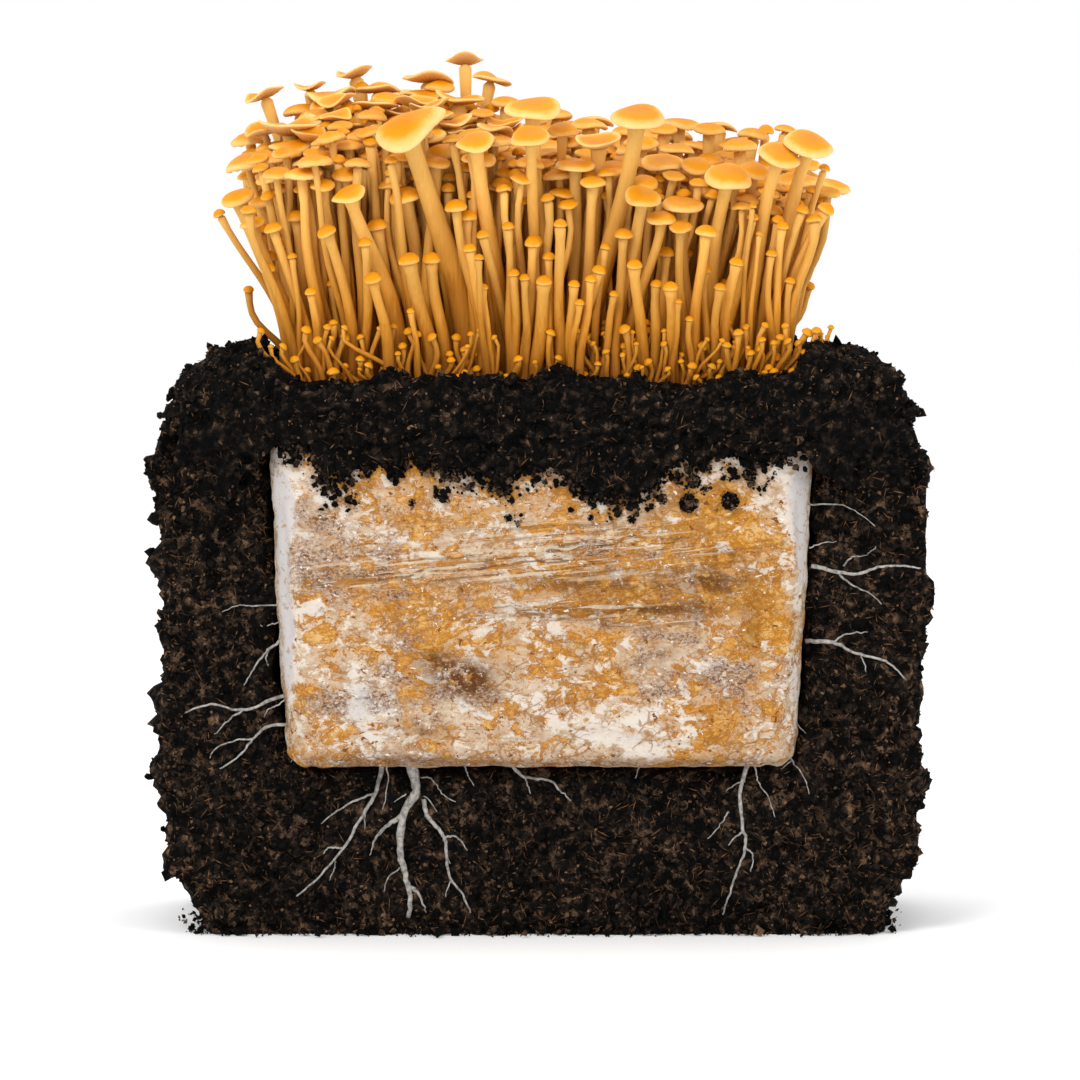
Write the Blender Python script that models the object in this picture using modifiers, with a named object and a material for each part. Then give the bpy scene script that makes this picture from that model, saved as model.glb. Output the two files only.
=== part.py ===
"""Enoki grow block: a sawdust block run through with mycelium, bedded in garden soil.

The soil is cut away in front so that the block's face and the mycelium strands that run from
it into the soil can be seen. Clumps of golden enoki stand on the block's top. Everything is in
metres, +Z up, +X to the viewer's right, with the viewer looking along +Y.
"""

import math

import bmesh
import bpy
import numpy as np
from mathutils import Matrix, Vector, noise

MM = 0.001
GAP = 0.3 * MM

# The block: a bag-moulded slab of sawdust, narrower at its foot.
BLOCK_WIDTH = 200 * MM
BLOCK_FOOT_WIDTH = 184 * MM
BLOCK_HEIGHT = 138 * MM
BLOCK_FRONT = -66 * MM
BLOCK_BACK = 54 * MM
BLOCK_TOP = 200 * MM
BLOCK_EDGE = 14 * MM
BLOCK_TOP_EDGE = 6 * MM

# The soil that the block is bedded in, and the soil heaped over its upper edges.
SOIL_WIDTH = 296 * MM
SOIL_FRONT = -54 * MM
SOIL_BACK = 78 * MM
SOIL_CORNER = 34 * MM
SOIL_LUMP = 5 * MM
SOIL_LUMP_SPACING = 34 * MM
SOIL_FOOT_INSET = 18 * MM
SOIL_FOOT_HEIGHT = 50 * MM
COVER_CREST = 8 * MM
COVER_EDGE_WIDTH = 8 * MM
COVER_EDGE_DROP = 4 * MM
COVER_EDGE_SLOPE = 3 * MM
COVER_THINNEST = 2 * MM
COVER_LUMPINESS = 0.7
COVER_OVERHANG = 4 * MM
COVER_FRONT = -78 * MM
SIDE_RISE = 8 * MM
SIDE_RISE_START = 84 * MM
SIDE_RISE_END = 102 * MM

# The soil banked in front, with how its thickness shrinks: at its crest, towards its lower edge, and
# at its two ends.
APRON_HALF_WIDTH = 138 * MM
APRON_FULL_HALF_WIDTH = 92 * MM
APRON_BACK = -54.4 * MM
APRON_CREST_DROP = 1 * MM
APRON_CREST_SHARE = 0.84
APRON_CREST_LUMPINESS = 0.6
APRON_THINNING = 0.28
APRON_END_THINNING = 0.62
APRON_END_EDGE_THINNING = 0.8

# The ragged lower edge of the soil that hangs over the block: across and height, in millimetres.
APRON_EDGE = [
    (-138, 152), (-114, 160), (-98, 178), (-84, 177), (-78, 164), (-70, 161), (-64, 171), (-58, 165),
    (-51, 162), (-45, 170), (-38, 164), (-29, 172), (-22, 160), (-14, 158), (-7, 162), (1, 171),
    (9, 165), (16, 158), (30, 157), (41, 162), (47, 171), (62, 173), (78, 172), (98, 175), (112, 160),
    (138, 150),
]

# The bare window in the cover, where the clumps stand on the block itself.
BED_LEFT, BED_RIGHT = -97 * MM, 97 * MM
BED_FRONT, BED_BACK = -61 * MM, 51 * MM
BED_CORNER = 14 * MM
BED_CUT_BELOW = 10 * MM
BED_CUT_ABOVE = 60 * MM
BED_FLARE = 0.10

# Mushrooms. A stem is thickest at its foot, and a wide cap is flatter than a young one.
STEM_FOOT_SWELL = 1.35
STEM_TIP_SHARE = 0.9
STEM_RISE = 0.38
STEM_TURN = 0.34
FOOT_OVERLAP = 0.72
YOUNG_CAP = 9 * MM
WIDE_CAP = 14 * MM
TINY_CAP = 6 * MM
BUTTON_DOME, OPEN_DOME, FLAT_DOME = 0.85, 0.5, 0.32
# The cap's outline from rim to apex: height as a share of its dome, and width as a share of its cap.
CAP_OUTLINE = [(0.08, 1.0), (0.68, 0.72), (1.0, 0.2)]

# Each clump is a place on the block's top and the mushrooms that grow from it, in millimetres.
# Place: across, depth. Mushroom: across and depth of the cap, height of its rim above the block,
# cap width, stem width, then the cap's tilt to the right and towards the viewer in degrees.
CLUMPS = [
    ((-84, -46), [(-98, -48, 59, 7.0, 3.2, -15, 8), (-106, -40, 61, 9.5, 4.2, -14, 14)]),
    ((-67, -52), [(-78, -60, 58, 7.4, 3.6, -26, 16), (-64, -62, 54, 5.4, 3.4, -8, 10)]),
    ((-50, -50), [(-70, -60, 72, 13.6, 5.0, -20, 24)]),
    ((-37, -54), [(-48, -66, 48, 7.8, 5.2, -12, 16), (-40, -61, 48, 6.8, 4.4, -3, 12)]),
    ((-27, -45), [(-49, -58, 95, 25.0, 7.0, -20, 32)]),
    ((-19, -55), [(-31, -57, 67, 8.6, 3.6, -6, 12), (-26, -62, 52, 5.0, 3.3, -6, 10)]),
    ((-12, -44), [(-24, -58, 91, 14.6, 5.4, -8, 30), (-21, -62, 57, 5.0, 3.3, -10, 10)]),
    ((-6, -56), [(-10, -62, 43, 4.6, 3.2, -4, 8), (1, -64, 40, 6.0, 4.6, 0, 10),
                 (-3, -62, 54, 6.2, 3.6, 0, 12)]),
    ((1, -44), [(-4, -60, 93, 14.6, 4.4, -4, 32), (-3, -44, 103, 20.6, 5.4, 0, 22)]),
    ((9, -56), [(7, -66, 61, 5.0, 3.9, 2, 10), (12, -62, 39, 4.4, 3.2, 6, 8)]),
    ((13, -43), [(35, -56, 100, 20.6, 6.2, 2, 22), (21, -61, 44, 5.4, 3.4, 14, 10)]),
    ((26, -50), [(37, -60, 71, 13.4, 4.6, 6, 38), (44, -56, 63, 11.0, 3.8, 4, 22)]),
    ((40, -55), [(34, -64, 46, 5.8, 3.9, 0, 12), (42, -60, 39, 4.6, 3.8, 4, 10)]),
    ((52, -55), [(47, -64, 38, 5.6, 4.4, -4, 12), (51, -60, 60, 9.0, 3.4, 2, 24),
                 (60, -62, 58, 8.0, 3.8, 8, 10)]),
    ((65, -55), [(71, -62, 47, 5.2, 3.6, 14, 10), (65, -66, 38, 4.4, 3.0, 10, 10)]),
    ((58, -42), [(68, -56, 78, 17.6, 5.2, 10, 32), (52, -50, 68, 15.6, 4.6, 6, 16)]),
    ((75, -49), [(87, -56, 86, 16.8, 5.2, 18, 30)]),
    ((86, -40), [(98, -50, 90, 19.6, 5.2, 15, 28), (104, -48, 66, 6.6, 3.6, 34, 8),
                 (104, -38, 81, 4.4, 2.6, 18, 6)]),
    ((-88, -26), [(-101, -34, 48, 8.0, 5.2, -8, 12), (-112, -30, 70, 12.4, 5.0, -20, 22)]),
    ((-88, -5), [(-119, -22, 64, 4.8, 2.6, -34, 6), (-103, -10, 68, 12.0, 4.4, -8, 6),
                 (-96, -6, 85, 14.2, 4.2, -12, 4)]),
    ((-74, -29), [(-82, -34, 82, 20.0, 4.8, 6, -10), (-80, -47, 75, 9.4, 4.2, -4, 22)]),
    ((-59, -33), [(-71, -44, 79, 11.4, 4.4, -6, 24), (-60, -48, 60, 8.0, 4.2, -12, 12)]),
    ((-44, -29), [(-50, -48, 71, 11.4, 5.4, -14, 28), (-55, -26, 82, 16.0, 4.6, 8, -12)]),
    ((-28, -25), [(-36, -32, 87, 12.4, 4.4, -10, 20), (-35, -6, 97, 17.0, 4.8, 0, 8)]),
    ((-10, -26), [(-12, -34, 79, 10.2, 4.2, 10, 22), (-17, -24, 95, 14.0, 4.4, 12, -4)]),
    ((11, -24), [(8, -32, 95, 11.4, 3.8, 4, 20), (21, -40, 90, 17.0, 4.8, -2, 16),
                 (12, -34, 82, 14.6, 4.2, 0, 16)]),
    ((34, -32), [(38, -42, 76, 10.4, 4.0, 6, 26), (45, -32, 83, 16.0, 4.6, 4, 22)]),
    ((53, -23), [(57, -36, 82, 11.8, 4.4, 6, 28), (50, -12, 88, 13.6, 4.4, 2, 10)]),
    ((73, -28), [(78, -38, 80, 12.4, 4.4, 10, 24), (74, -10, 89, 12.8, 4.4, 0, 10)]),
    ((-86, 16), [(-106, 12, 74, 11.0, 4.2, -18, 4), (-100, 20, 85, 15.0, 4.6, -10, 0)]),
    ((-72, -6), [(-94, 2, 95, 22.6, 5.0, -4, 4), (-77, -14, 89, 17.6, 4.6, -2, 12)]),
    ((-80, 40), [(-105, 40, 108, 15.2, 4.2, -20, 0), (-88, 46, 111, 13.0, 4.0, -8, 0)]),
    ((-67, 24), [(-86, 24, 100, 12.4, 4.2, -10, 6), (-80, 34, 104, 15.0, 4.6, -4, 4)]),
    ((-56, 4), [(-70, 6, 96, 19.6, 5.0, -2, 4)]),
    ((-58, 42), [(-71, 50, 116, 15.0, 4.6, -14, -6), (-62, 36, 110, 17.0, 4.8, -2, 2)]),
    ((-46, 21), [(-62, 18, 104, 16.0, 4.6, 0, 4), (-47, 16, 105, 15.0, 4.6, 2, 6)]),
    ((-36, 42), [(-43, 44, 114, 20.0, 5.0, 2, -2)]),
    ((-26, 14), [(-31, 24, 106, 17.0, 4.8, 6, 4)]),
    ((-16, 42), [(-29, 54, 121, 14.0, 4.6, 0, -8), (-19, 36, 114, 14.4, 4.6, 16, 4)]),
    ((-6, 10), [(-13, 22, 105, 12.0, 4.2, 4, 4), (-14, 4, 97, 14.0, 4.6, 0, 10)]),
    ((14, 6), [(18, 6, 97, 14.0, 4.6, 4, 6), (6, 18, 100, 12.0, 4.4, -2, -4)]),
    ((32, -4), [(37, -14, 90, 12.8, 4.4, 2, 12), (32, 8, 94, 12.0, 4.4, 2, 0)]),
    ((44, 24), [(52, 24, 97, 15.6, 4.6, 4, 2), (46, 8, 95, 10.6, 4.2, 0, 8)]),
    ((62, 40), [(68, 40, 96, 14.0, 4.6, 6, -6), (52, 46, 92, 12.0, 4.4, 0, -14)]),
    ((75, 12), [(80, 22, 93, 12.6, 4.4, 8, 2), (92, 14, 95, 9.0, 3.8, 14, 2)]),
    ((14, 40), [(20, 42, 98, 15.0, 4.6, 4, -8), (2, 46, 102, 13.6, 4.4, -4, -10)]),
    ((85, 38), [(93, 44, 88, 12.0, 4.4, 16, -12), (82, 48, 76, 9.0, 4.0, 4, -20)]),
]

# How far a cap is moved back or forward, in turn, until it clears the caps and stems before it.
DEPTH_TRIES = [0, 2, -2, 4, -4, 6, -6, 8, -8, 10, -10, 12, -12, 15, 18, -15]
CLEARANCE = 0.5 * MM

# Mycelium strands on the cut face of the soil, in millimetres across and up, with each
# one's width where it leaves the block. The first line is the strand, the rest its forks.
STRANDS = {
    "strand_left_upper": (1.6, [
        [(-94, 110), (-100, 105), (-105, 99), (-109, 92)],
        [(-100, 105), (-101, 102), (-100, 99)],
    ]),
    "strand_left_middle": (2.0, [
        [(-90, 89), (-99, 87), (-110, 83), (-121, 85), (-131, 82)],
        [(-109, 83.5), (-115, 79), (-120, 74)],
    ]),
    "strand_left_lower": (1.8, [
        [(-89, 78), (-100, 77), (-106, 72), (-111, 66), (-118, 61)],
        [(-106, 72), (-111, 72), (-119, 69), (-122, 65)],
    ]),
    "strand_under_left": (2.2, [
        [(-58, 64), (-61, 52), (-65, 45), (-72, 33), (-81, 22), (-90, 14)],
        [(-61, 52), (-69, 49), (-76, 45), (-81, 41)],
        [(-73, 32), (-78, 32), (-80, 30)],
    ]),
    "strand_trunk": (5.0, [
        [(-48, 64), (-46, 53), (-50, 46), (-52, 33), (-50, 22), (-48, 13), (-49, 6)],
        [(-51, 44), (-57, 40), (-61, 35), (-63, 29)],
        [(-49, 18), (-45, 15), (-42, 8)],
    ]),
    "strand_trunk_fork": (2.4, [
        [(-43.2, 50), (-42, 44), (-37, 38), (-35, 33), (-34, 22), (-29, 15), (-26, 8)],
        [(-36, 36), (-31, 36), (-27, 31)],
    ]),
    "strand_under_middle": (1.8, [
        [(-12, 64), (-6, 58), (3, 57), (7, 53), (11, 49)],
        [(-6, 58), (-4, 52)],
    ]),
    "strand_under_right": (2.0, [
        [(76, 64), (73, 52), (74, 41), (75, 32), (72, 23), (69, 14), (67, 7)],
        [(75, 32), (78, 29), (77, 23)],
        [(74, 38), (71, 36), (69, 33)],
    ]),
    "strand_right_upper": (2.0, [
        [(99, 136), (108, 134), (116, 133), (125, 136), (134, 136), (139, 135)],
        [(108, 134), (114, 129), (120, 126), (125, 122)],
    ]),
    "strand_right_lower": (2.0, [
        [(97, 108), (107, 108), (114, 104.5), (123, 102), (128, 100), (134, 94)],
        [(107, 108), (112, 111), (120, 111.5)],
    ]),
}


# Materials and scene plumbing


def clear_scene():
    for old in list(bpy.data.objects):
        bpy.data.objects.remove(old, do_unlink=True)


def new_collection(name):
    made = bpy.data.collections.new(name)
    bpy.context.scene.collection.children.link(made)
    return made


def finish(name, colour, roughness):
    """A Principled material of one colour, with no metal in it."""
    material = bpy.data.materials.new(name)
    material.use_nodes = True
    shader = material.node_tree.nodes["Principled BSDF"]
    shader.inputs["Base Color"].default_value = (*colour, 1)
    shader.inputs["Roughness"].default_value = roughness
    shader.inputs["Metallic"].default_value = 0
    return material


def add_object(name, mesh, collection, material=None):
    made = bpy.data.objects.new(name, mesh)
    collection.objects.link(made)
    if material:
        mesh.materials.append(material)
    return made


def hide_helper(helper):
    helper.hide_render = True
    helper.display_type = "WIRE"


def evaluated_mesh(source):
    """The object's mesh with its modifiers applied, and a curve's loose caps welded on."""
    bpy.context.view_layer.update()
    graph = bpy.context.evaluated_depsgraph_get()
    mesh = bpy.data.meshes.new_from_object(source.evaluated_get(graph))
    welder = bmesh.new()
    welder.from_mesh(mesh)
    bmesh.ops.remove_doubles(welder, verts=welder.verts, dist=0.01 * MM)
    bmesh.ops.recalc_face_normals(welder, faces=welder.faces)
    welder.to_mesh(mesh)
    welder.free()
    return mesh


def boolean(target, other, operation):
    """Joins or cuts target with other and keeps the result as its mesh."""
    step = target.modifiers.new(operation.lower(), "BOOLEAN")
    step.operation = operation
    step.solver = "EXACT"
    step.object = other
    mesh = evaluated_mesh(target)
    target.modifiers.clear()
    target.data = mesh


def fuse(name, pieces, collection, material):
    """One object from overlapping pieces, which are used up."""
    whole = pieces[0]
    for piece in pieces[1:]:
        boolean(whole, piece, "UNION")
        bpy.data.objects.remove(piece, do_unlink=True)
    whole.name = name
    whole.data.name = name
    whole.data.materials.clear()
    whole.data.materials.append(material)
    return whole


# Block


def block_half_width(height):
    """Half the block's width at a height above its foot."""
    share = min(max(height / BLOCK_HEIGHT, 0), 1)
    return (BLOCK_FOOT_WIDTH + (BLOCK_WIDTH - BLOCK_FOOT_WIDTH) * share**0.6) / 2


def tapered_block(name, collection, grown=0.0):
    """The block, or a cutter of it grown all round, from a primitive cube."""
    shape = bmesh.new()
    bmesh.ops.create_cube(shape, size=1)
    upright = [e for e in shape.edges if abs(e.verts[0].co.z - e.verts[1].co.z) > 0.5]
    bmesh.ops.subdivide_edges(shape, edges=upright, cuts=3)
    depth = BLOCK_BACK - BLOCK_FRONT
    for corner in shape.verts:
        height = (corner.co.z + 0.5) * BLOCK_HEIGHT
        corner.co.x = math.copysign(block_half_width(height) + grown, corner.co.x)
        corner.co.y = (BLOCK_FRONT + BLOCK_BACK) / 2 + math.copysign(depth / 2 + grown, corner.co.y)
        corner.co.z = BLOCK_TOP - BLOCK_HEIGHT + height
        corner.co.z += math.copysign(grown, corner.co.z - BLOCK_TOP + BLOCK_HEIGHT / 2)
    width_layer = shape.edges.layers.float.new("bevel_weight_edge")
    top = [e for e in shape.edges if all(v.co.z > BLOCK_TOP - 1 * MM for v in e.verts)]
    others = [e for e in shape.edges if e not in top and e.calc_face_angle(0) > 1]
    for edge in others:
        edge[width_layer] = 1
    for edge in top:
        edge[width_layer] = BLOCK_TOP_EDGE / BLOCK_EDGE
    mesh = bpy.data.meshes.new(name)
    shape.to_mesh(mesh)
    shape.free()
    made = add_object(name, mesh, collection)
    rounding = made.modifiers.new("rounded_edges", "BEVEL")
    rounding.limit_method = "WEIGHT"
    rounding.width = BLOCK_EDGE
    rounding.segments = 3
    return made


# Soil


def soil_lump(point):
    """How far the soil stands out at a point, in metres, from -1 to 1 lumps."""
    coarse = noise.noise(point / SOIL_LUMP_SPACING)
    fine = noise.noise(point / (0.4 * SOIL_LUMP_SPACING) + Vector((7, 3, 5)))
    return SOIL_LUMP * (1.3 * coarse + 0.7 * fine)


def gridded_box(low, high, cuts):
    """A box from a primitive cube, cut into a grid along each axis."""
    shape = bmesh.new()
    bmesh.ops.create_cube(shape, size=1)
    for axis, count in enumerate(cuts):
        along = [
            e
            for e in shape.edges
            if abs(e.verts[0].co[axis] - e.verts[1].co[axis]) > 0.5
        ]
        bmesh.ops.subdivide_edges(shape, edges=along, cuts=count, use_grid_fill=True)
    for corner in shape.verts:
        for axis in range(3):
            share = corner.co[axis] + 0.5
            corner.co[axis] = low[axis] + share * (high[axis] - low[axis])
    return shape


def round_plan(point, low, high, radius):
    """Moves a point of a box's side onto a plan with rounded back corners, and says how it faces."""
    inner = Vector((
        min(max(point.x, low[0] + radius), high[0] - radius),
        min(point.y, high[1] - radius),
        point.z,
    ))
    out = point - inner
    if out.length < 1e-9:
        return Vector((0, 0, 0))
    if abs(out.x) > 1e-9 and abs(out.y) > 1e-9:
        point.xy = inner.xy + out.xy.normalized() * max(abs(out.x), abs(out.y))
    return out.normalized()


def soil_bed(collection, material, block_cutter):
    """The soil round, behind and under the block. Its front is cut flat, as by a spade."""
    low = (-SOIL_WIDTH / 2 + SOIL_LUMP, SOIL_FRONT, 0)
    high = (SOIL_WIDTH / 2 - SOIL_LUMP, SOIL_BACK - SOIL_LUMP, BLOCK_TOP)
    shape = gridded_box(low, high, (11, 4, 7))
    for corner in shape.verts:
        out = round_plan(corner.co, low, high, SOIL_CORNER)
        if corner.co.z < SOIL_FOOT_HEIGHT:
            corner.co.xy -= SOIL_FOOT_INSET * (1 - corner.co.z / SOIL_FOOT_HEIGHT) ** 2 * out.xy
        corner.co.xy += soil_lump(corner.co) * out.xy
    mesh = bpy.data.meshes.new("soil_bed")
    shape.to_mesh(mesh)
    shape.free()
    bed = add_object("soil_bed", mesh, collection)
    boolean(bed, block_cutter, "DIFFERENCE")
    bed.data.materials.append(material)
    return bed


def beside_block(across):
    """0 in front of the block, rising smoothly to 1 at the ends of the soil banked there."""
    share = (abs(across) - APRON_FULL_HALF_WIDTH) / (APRON_HALF_WIDTH - APRON_FULL_HALF_WIDTH)
    share = min(max(share, 0), 1)
    return share * share * (3 - 2 * share)


def side_rise(across):
    """How much higher the loose soil lies beside the mushrooms than in front of and behind them."""
    share = (abs(across) - SIDE_RISE_START) / (SIDE_RISE_END - SIDE_RISE_START)
    share = min(max(share, 0), 1)
    return SIDE_RISE * share * share * (3 - 2 * share)


def apron_edge(across):
    """The height of the lower edge of the hanging soil at a place across the block."""
    places, heights = zip(*APRON_EDGE)
    return float(np.interp(across / MM, places, heights)) * MM


def soil_apron(collection):
    """The soil banked along the block's front edge and fallen over it. It thins out at its ends."""
    low = (-APRON_HALF_WIDTH, COVER_FRONT, 0)
    high = (APRON_HALF_WIDTH, APRON_BACK, 1)
    shape = gridded_box(low, high, (38, 0, 3))
    for corner in shape.verts:
        hang = 1 - corner.co.z
        beside = beside_block(corner.co.x)
        thickness = APRON_CREST_SHARE if hang == 0 else 1 - APRON_THINNING * hang**1.5
        thickness *= (1 - APRON_END_THINNING * beside) * (1 - APRON_END_EDGE_THINNING * beside * hang)
        if corner.co.y < APRON_BACK:
            corner.co.y = APRON_BACK + (corner.co.y - APRON_BACK) * thickness
        crest = BLOCK_TOP + COVER_CREST - APRON_CREST_DROP + side_rise(corner.co.x)
        corner.co.z = crest + hang * (apron_edge(corner.co.x) - crest)
        corner.co.z += APRON_CREST_LUMPINESS * soil_lump(corner.co) * (hang == 0)
    mesh = bpy.data.meshes.new("apron")
    shape.to_mesh(mesh)
    shape.free()
    return add_object("apron", mesh, collection)


def bed_window(collection):
    """A cutter for the window that the clumps stand in."""
    low = (BED_LEFT, BED_FRONT, BLOCK_TOP - BED_CUT_BELOW)
    high = (BED_RIGHT, BED_BACK, BLOCK_TOP + BED_CUT_ABOVE)
    shape = gridded_box(low, high, (0, 0, 0))
    mesh = bpy.data.meshes.new("bed_window")
    upright = [e for e in shape.edges if abs(e.verts[0].co.z - e.verts[1].co.z) > 1 * MM]
    bmesh.ops.bevel(
        shape, geom=upright, offset=BED_CORNER, segments=3, affect="EDGES", profile=0.5
    )
    for corner in shape.verts:
        corner.co.x *= 1 + BED_FLARE * (corner.co.z > BLOCK_TOP)
    shape.to_mesh(mesh)
    shape.free()
    return add_object("bed_window", mesh, collection)


def soil_cover(collection, helpers, material, block_cutter):
    """The soil heaped over the block's upper edges, with the window left bare."""
    low = (-SOIL_WIDTH / 2 + SOIL_LUMP, SOIL_FRONT - COVER_OVERHANG, BLOCK_TOP + 1.5 * GAP)
    high = (SOIL_WIDTH / 2 - SOIL_LUMP, SOIL_BACK - SOIL_LUMP, BLOCK_TOP + COVER_CREST)
    shape = gridded_box(low, high, (12, 6, 0))
    for corner in shape.verts:
        top = corner.co.z > high[2] - 1e-6
        out = round_plan(corner.co, low, high, SOIL_CORNER)
        corner.co.xy += soil_lump(corner.co) * out.xy
        if top:
            corner.co.z += side_rise(corner.co.x)
            edge = min(
                high[0] - abs(corner.co.x), high[1] - corner.co.y, corner.co.y - low[1]
            )
            corner.co.z += COVER_LUMPINESS * soil_lump(corner.co)
            corner.co.z -= COVER_EDGE_DROP * (edge < COVER_EDGE_WIDTH)
            corner.co.z = max(corner.co.z, low[2] + COVER_THINNEST)
            corner.co.xy -= COVER_EDGE_SLOPE * out.xy
    mesh = bpy.data.meshes.new("soil_cover")
    shape.to_mesh(mesh)
    shape.free()
    cover = add_object("soil_cover", mesh, collection)
    apron = soil_apron(helpers)
    boolean(cover, apron, "UNION")
    bpy.data.objects.remove(apron, do_unlink=True)
    window = bed_window(helpers)
    for cutter in (window, block_cutter):
        boolean(cover, cutter, "DIFFERENCE")
    bpy.data.objects.remove(window, do_unlink=True)
    cover.data.materials.append(material)
    return cover


# Mushrooms


class Mushroom:
    """One enoki: where it stands, where its cap is, and how the cap tilts."""

    def __init__(self, foot, row):
        across, depth, height, cap, stem, right, forward = row
        self.foot = Vector(foot)
        self.tip = Vector((across * MM, depth * MM, BLOCK_TOP + height * MM))
        self.cap = cap * MM / 2
        self.stem = stem * MM / 2
        lean = Vector((
            math.sin(math.radians(right)), -math.sin(math.radians(forward)), 1
        ))
        self.axis = lean.normalized()

    def dome(self):
        """The cap's height over its radius: a button when young, flatter as it widens."""
        if 2 * self.cap < YOUNG_CAP:
            return BUTTON_DOME
        return OPEN_DOME if 2 * self.cap < WIDE_CAP else FLAT_DOME

    def stem_point(self, share):
        """A point of the stem's centreline, from foot to cap: it rises, then turns to the cap."""
        length = (self.tip - self.foot).length
        rise = self.foot + Vector((0, 0, STEM_RISE * length))
        turn = self.tip - self.axis * STEM_TURN * length
        left = 1 - share
        return (
            self.foot * left**3
            + rise * 3 * left**2 * share
            + turn * 3 * left * share**2
            + self.tip * share**3
        )

    def stem_radius(self, share):
        return self.stem * (STEM_FOOT_SWELL + (STEM_TIP_SHARE - STEM_FOOT_SWELL) * share**0.6)

    def body(self):
        """Spheres that fill the stem and the cap: centres, radii, and which are near the foot."""
        balls = []
        for step in range(14):
            share = step / 13
            balls.append((*self.stem_point(share), self.stem_radius(share), step < 6))
        side = self.axis.orthogonal().normalized()
        thick = self.cap * self.dome() / 2
        middle = self.tip + self.axis * thick
        balls.append((*middle, thick, False))
        for ring, count in ((0.5, 6), (0.88, 12)):
            for spoke in range(count):
                turn = Matrix.Rotation(spoke * math.tau / count, 3, self.axis)
                at = middle + turn @ side * self.cap * ring - self.axis * thick * ring * 0.5
                balls.append((*at, thick * (1 - 0.55 * ring), False))
        return np.array(balls)


def clash(one, other, same_clump):
    """Whether two mushrooms touch. Stems of one clump are joined at the foot, so those don't count."""
    if same_clump:
        one = one[one[:, 4] == 0]
        other = other[other[:, 4] == 0]
    apart = np.linalg.norm(one[:, None, :3] - other[None, :, :3], axis=2)
    return bool((apart < one[:, None, 3] + other[None, :, 3] + CLEARANCE).any())


def stands(foot, rows):
    """Where each stem of a clump stands: in a row from left to right, each grown into the next."""
    order = sorted(range(len(rows)), key=lambda index: rows[index][0])
    across = [0.0]
    for left, right in zip(order, order[1:]):
        widths = rows[left][4] + rows[right][4]
        across.append(across[-1] + FOOT_OVERLAP * STEM_FOOT_SWELL * widths / 2)
    middle = across[-1] / 2
    return {
        index: Vector(((foot[0] + x - middle) * MM, foot[1] * MM, BLOCK_TOP + GAP))
        for index, x in zip(order, across)
    }


def grow_clumps():
    """The mushrooms of each clump, with caps moved in depth until none touches another."""
    grown = []
    placed = []
    for number, (foot, rows) in enumerate(CLUMPS):
        stand = stands(foot, rows)
        members = []
        for index, row in enumerate(rows):
            for shift in DEPTH_TRIES:
                mushroom = Mushroom(stand[index], (row[0], row[1] + shift, *row[2:]))
                body = mushroom.body()
                if not any(clash(body, b, n == number) for n, b in placed):
                    break
            else:
                print("still touching: clump", number + 1, row)
            placed.append((number, body))
            members.append(mushroom)
        grown.append(members)
    return grown


def mushroom_solid(mushroom, collection):
    """Stem and cap as one bevelled curve: its radius opens out at the cap and closes over it."""
    curve = bpy.data.curves.new("mushroom", "CURVE")
    curve.dimensions = "3D"
    curve.bevel_depth = 1
    tiny = 2 * mushroom.cap < TINY_CAP
    curve.bevel_resolution = 0 if tiny else (2 if 2 * mushroom.cap > 1.1 * WIDE_CAP else 1)
    curve.use_fill_caps = True
    dome = mushroom.dome() * mushroom.cap
    rings = [(mushroom.stem_point(s), mushroom.stem_radius(s)) for s in (0, 0.5, 1)]
    rings += [
        (mushroom.tip + mushroom.axis * dome * up, mushroom.cap * out) for up, out in CAP_OUTLINE
    ]
    spline = curve.splines.new("POLY")
    spline.points.add(len(rings) - 1)
    for point, (place, radius) in zip(spline.points, rings):
        point.co = (*place, 1)
        point.radius = radius
    source = add_object("mushroom", curve, collection)
    made = add_object("mushroom", evaluated_mesh(source), collection)
    bpy.data.objects.remove(source, do_unlink=True)
    for corner in made.data.vertices:
        if (corner.co - mushroom.foot).length < 1.05 * mushroom.stem_radius(0):
            corner.co.z = mushroom.foot.z
    return made


# Strands


def strand_tube(points, width, at_block, collection):
    """A tapering strand laid on the soil's cut face, through points across and up in millimetres."""
    curve = bpy.data.curves.new("strand", "CURVE")
    curve.dimensions = "3D"
    curve.bevel_depth = 1
    curve.bevel_resolution = 0
    curve.use_fill_caps = True
    spline = curve.splines.new("POLY")
    spline.points.add(len(points) - 1)
    for index, (point, (across, up)) in enumerate(zip(spline.points, points)):
        share = index / (len(points) - 1)
        radius = width * MM / 2 * ((1 if at_block else 0.75) - 0.5 * share)
        point.co = (across * MM, SOIL_FRONT - GAP - width * MM / 2, up * MM, 1)
        point.radius = radius
    source = add_object("strand", curve, collection)
    made = add_object("strand", evaluated_mesh(source), collection)
    bpy.data.objects.remove(source, do_unlink=True)
    return made


def strand(name, width, lines, collection, material, block_cutter):
    tubes = [
        strand_tube(line, width, index == 0, collection)
        for index, line in enumerate(lines)
    ]
    whole = fuse(name, tubes, collection, material)
    boolean(whole, block_cutter, "DIFFERENCE")
    return whole


# Assembly


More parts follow.
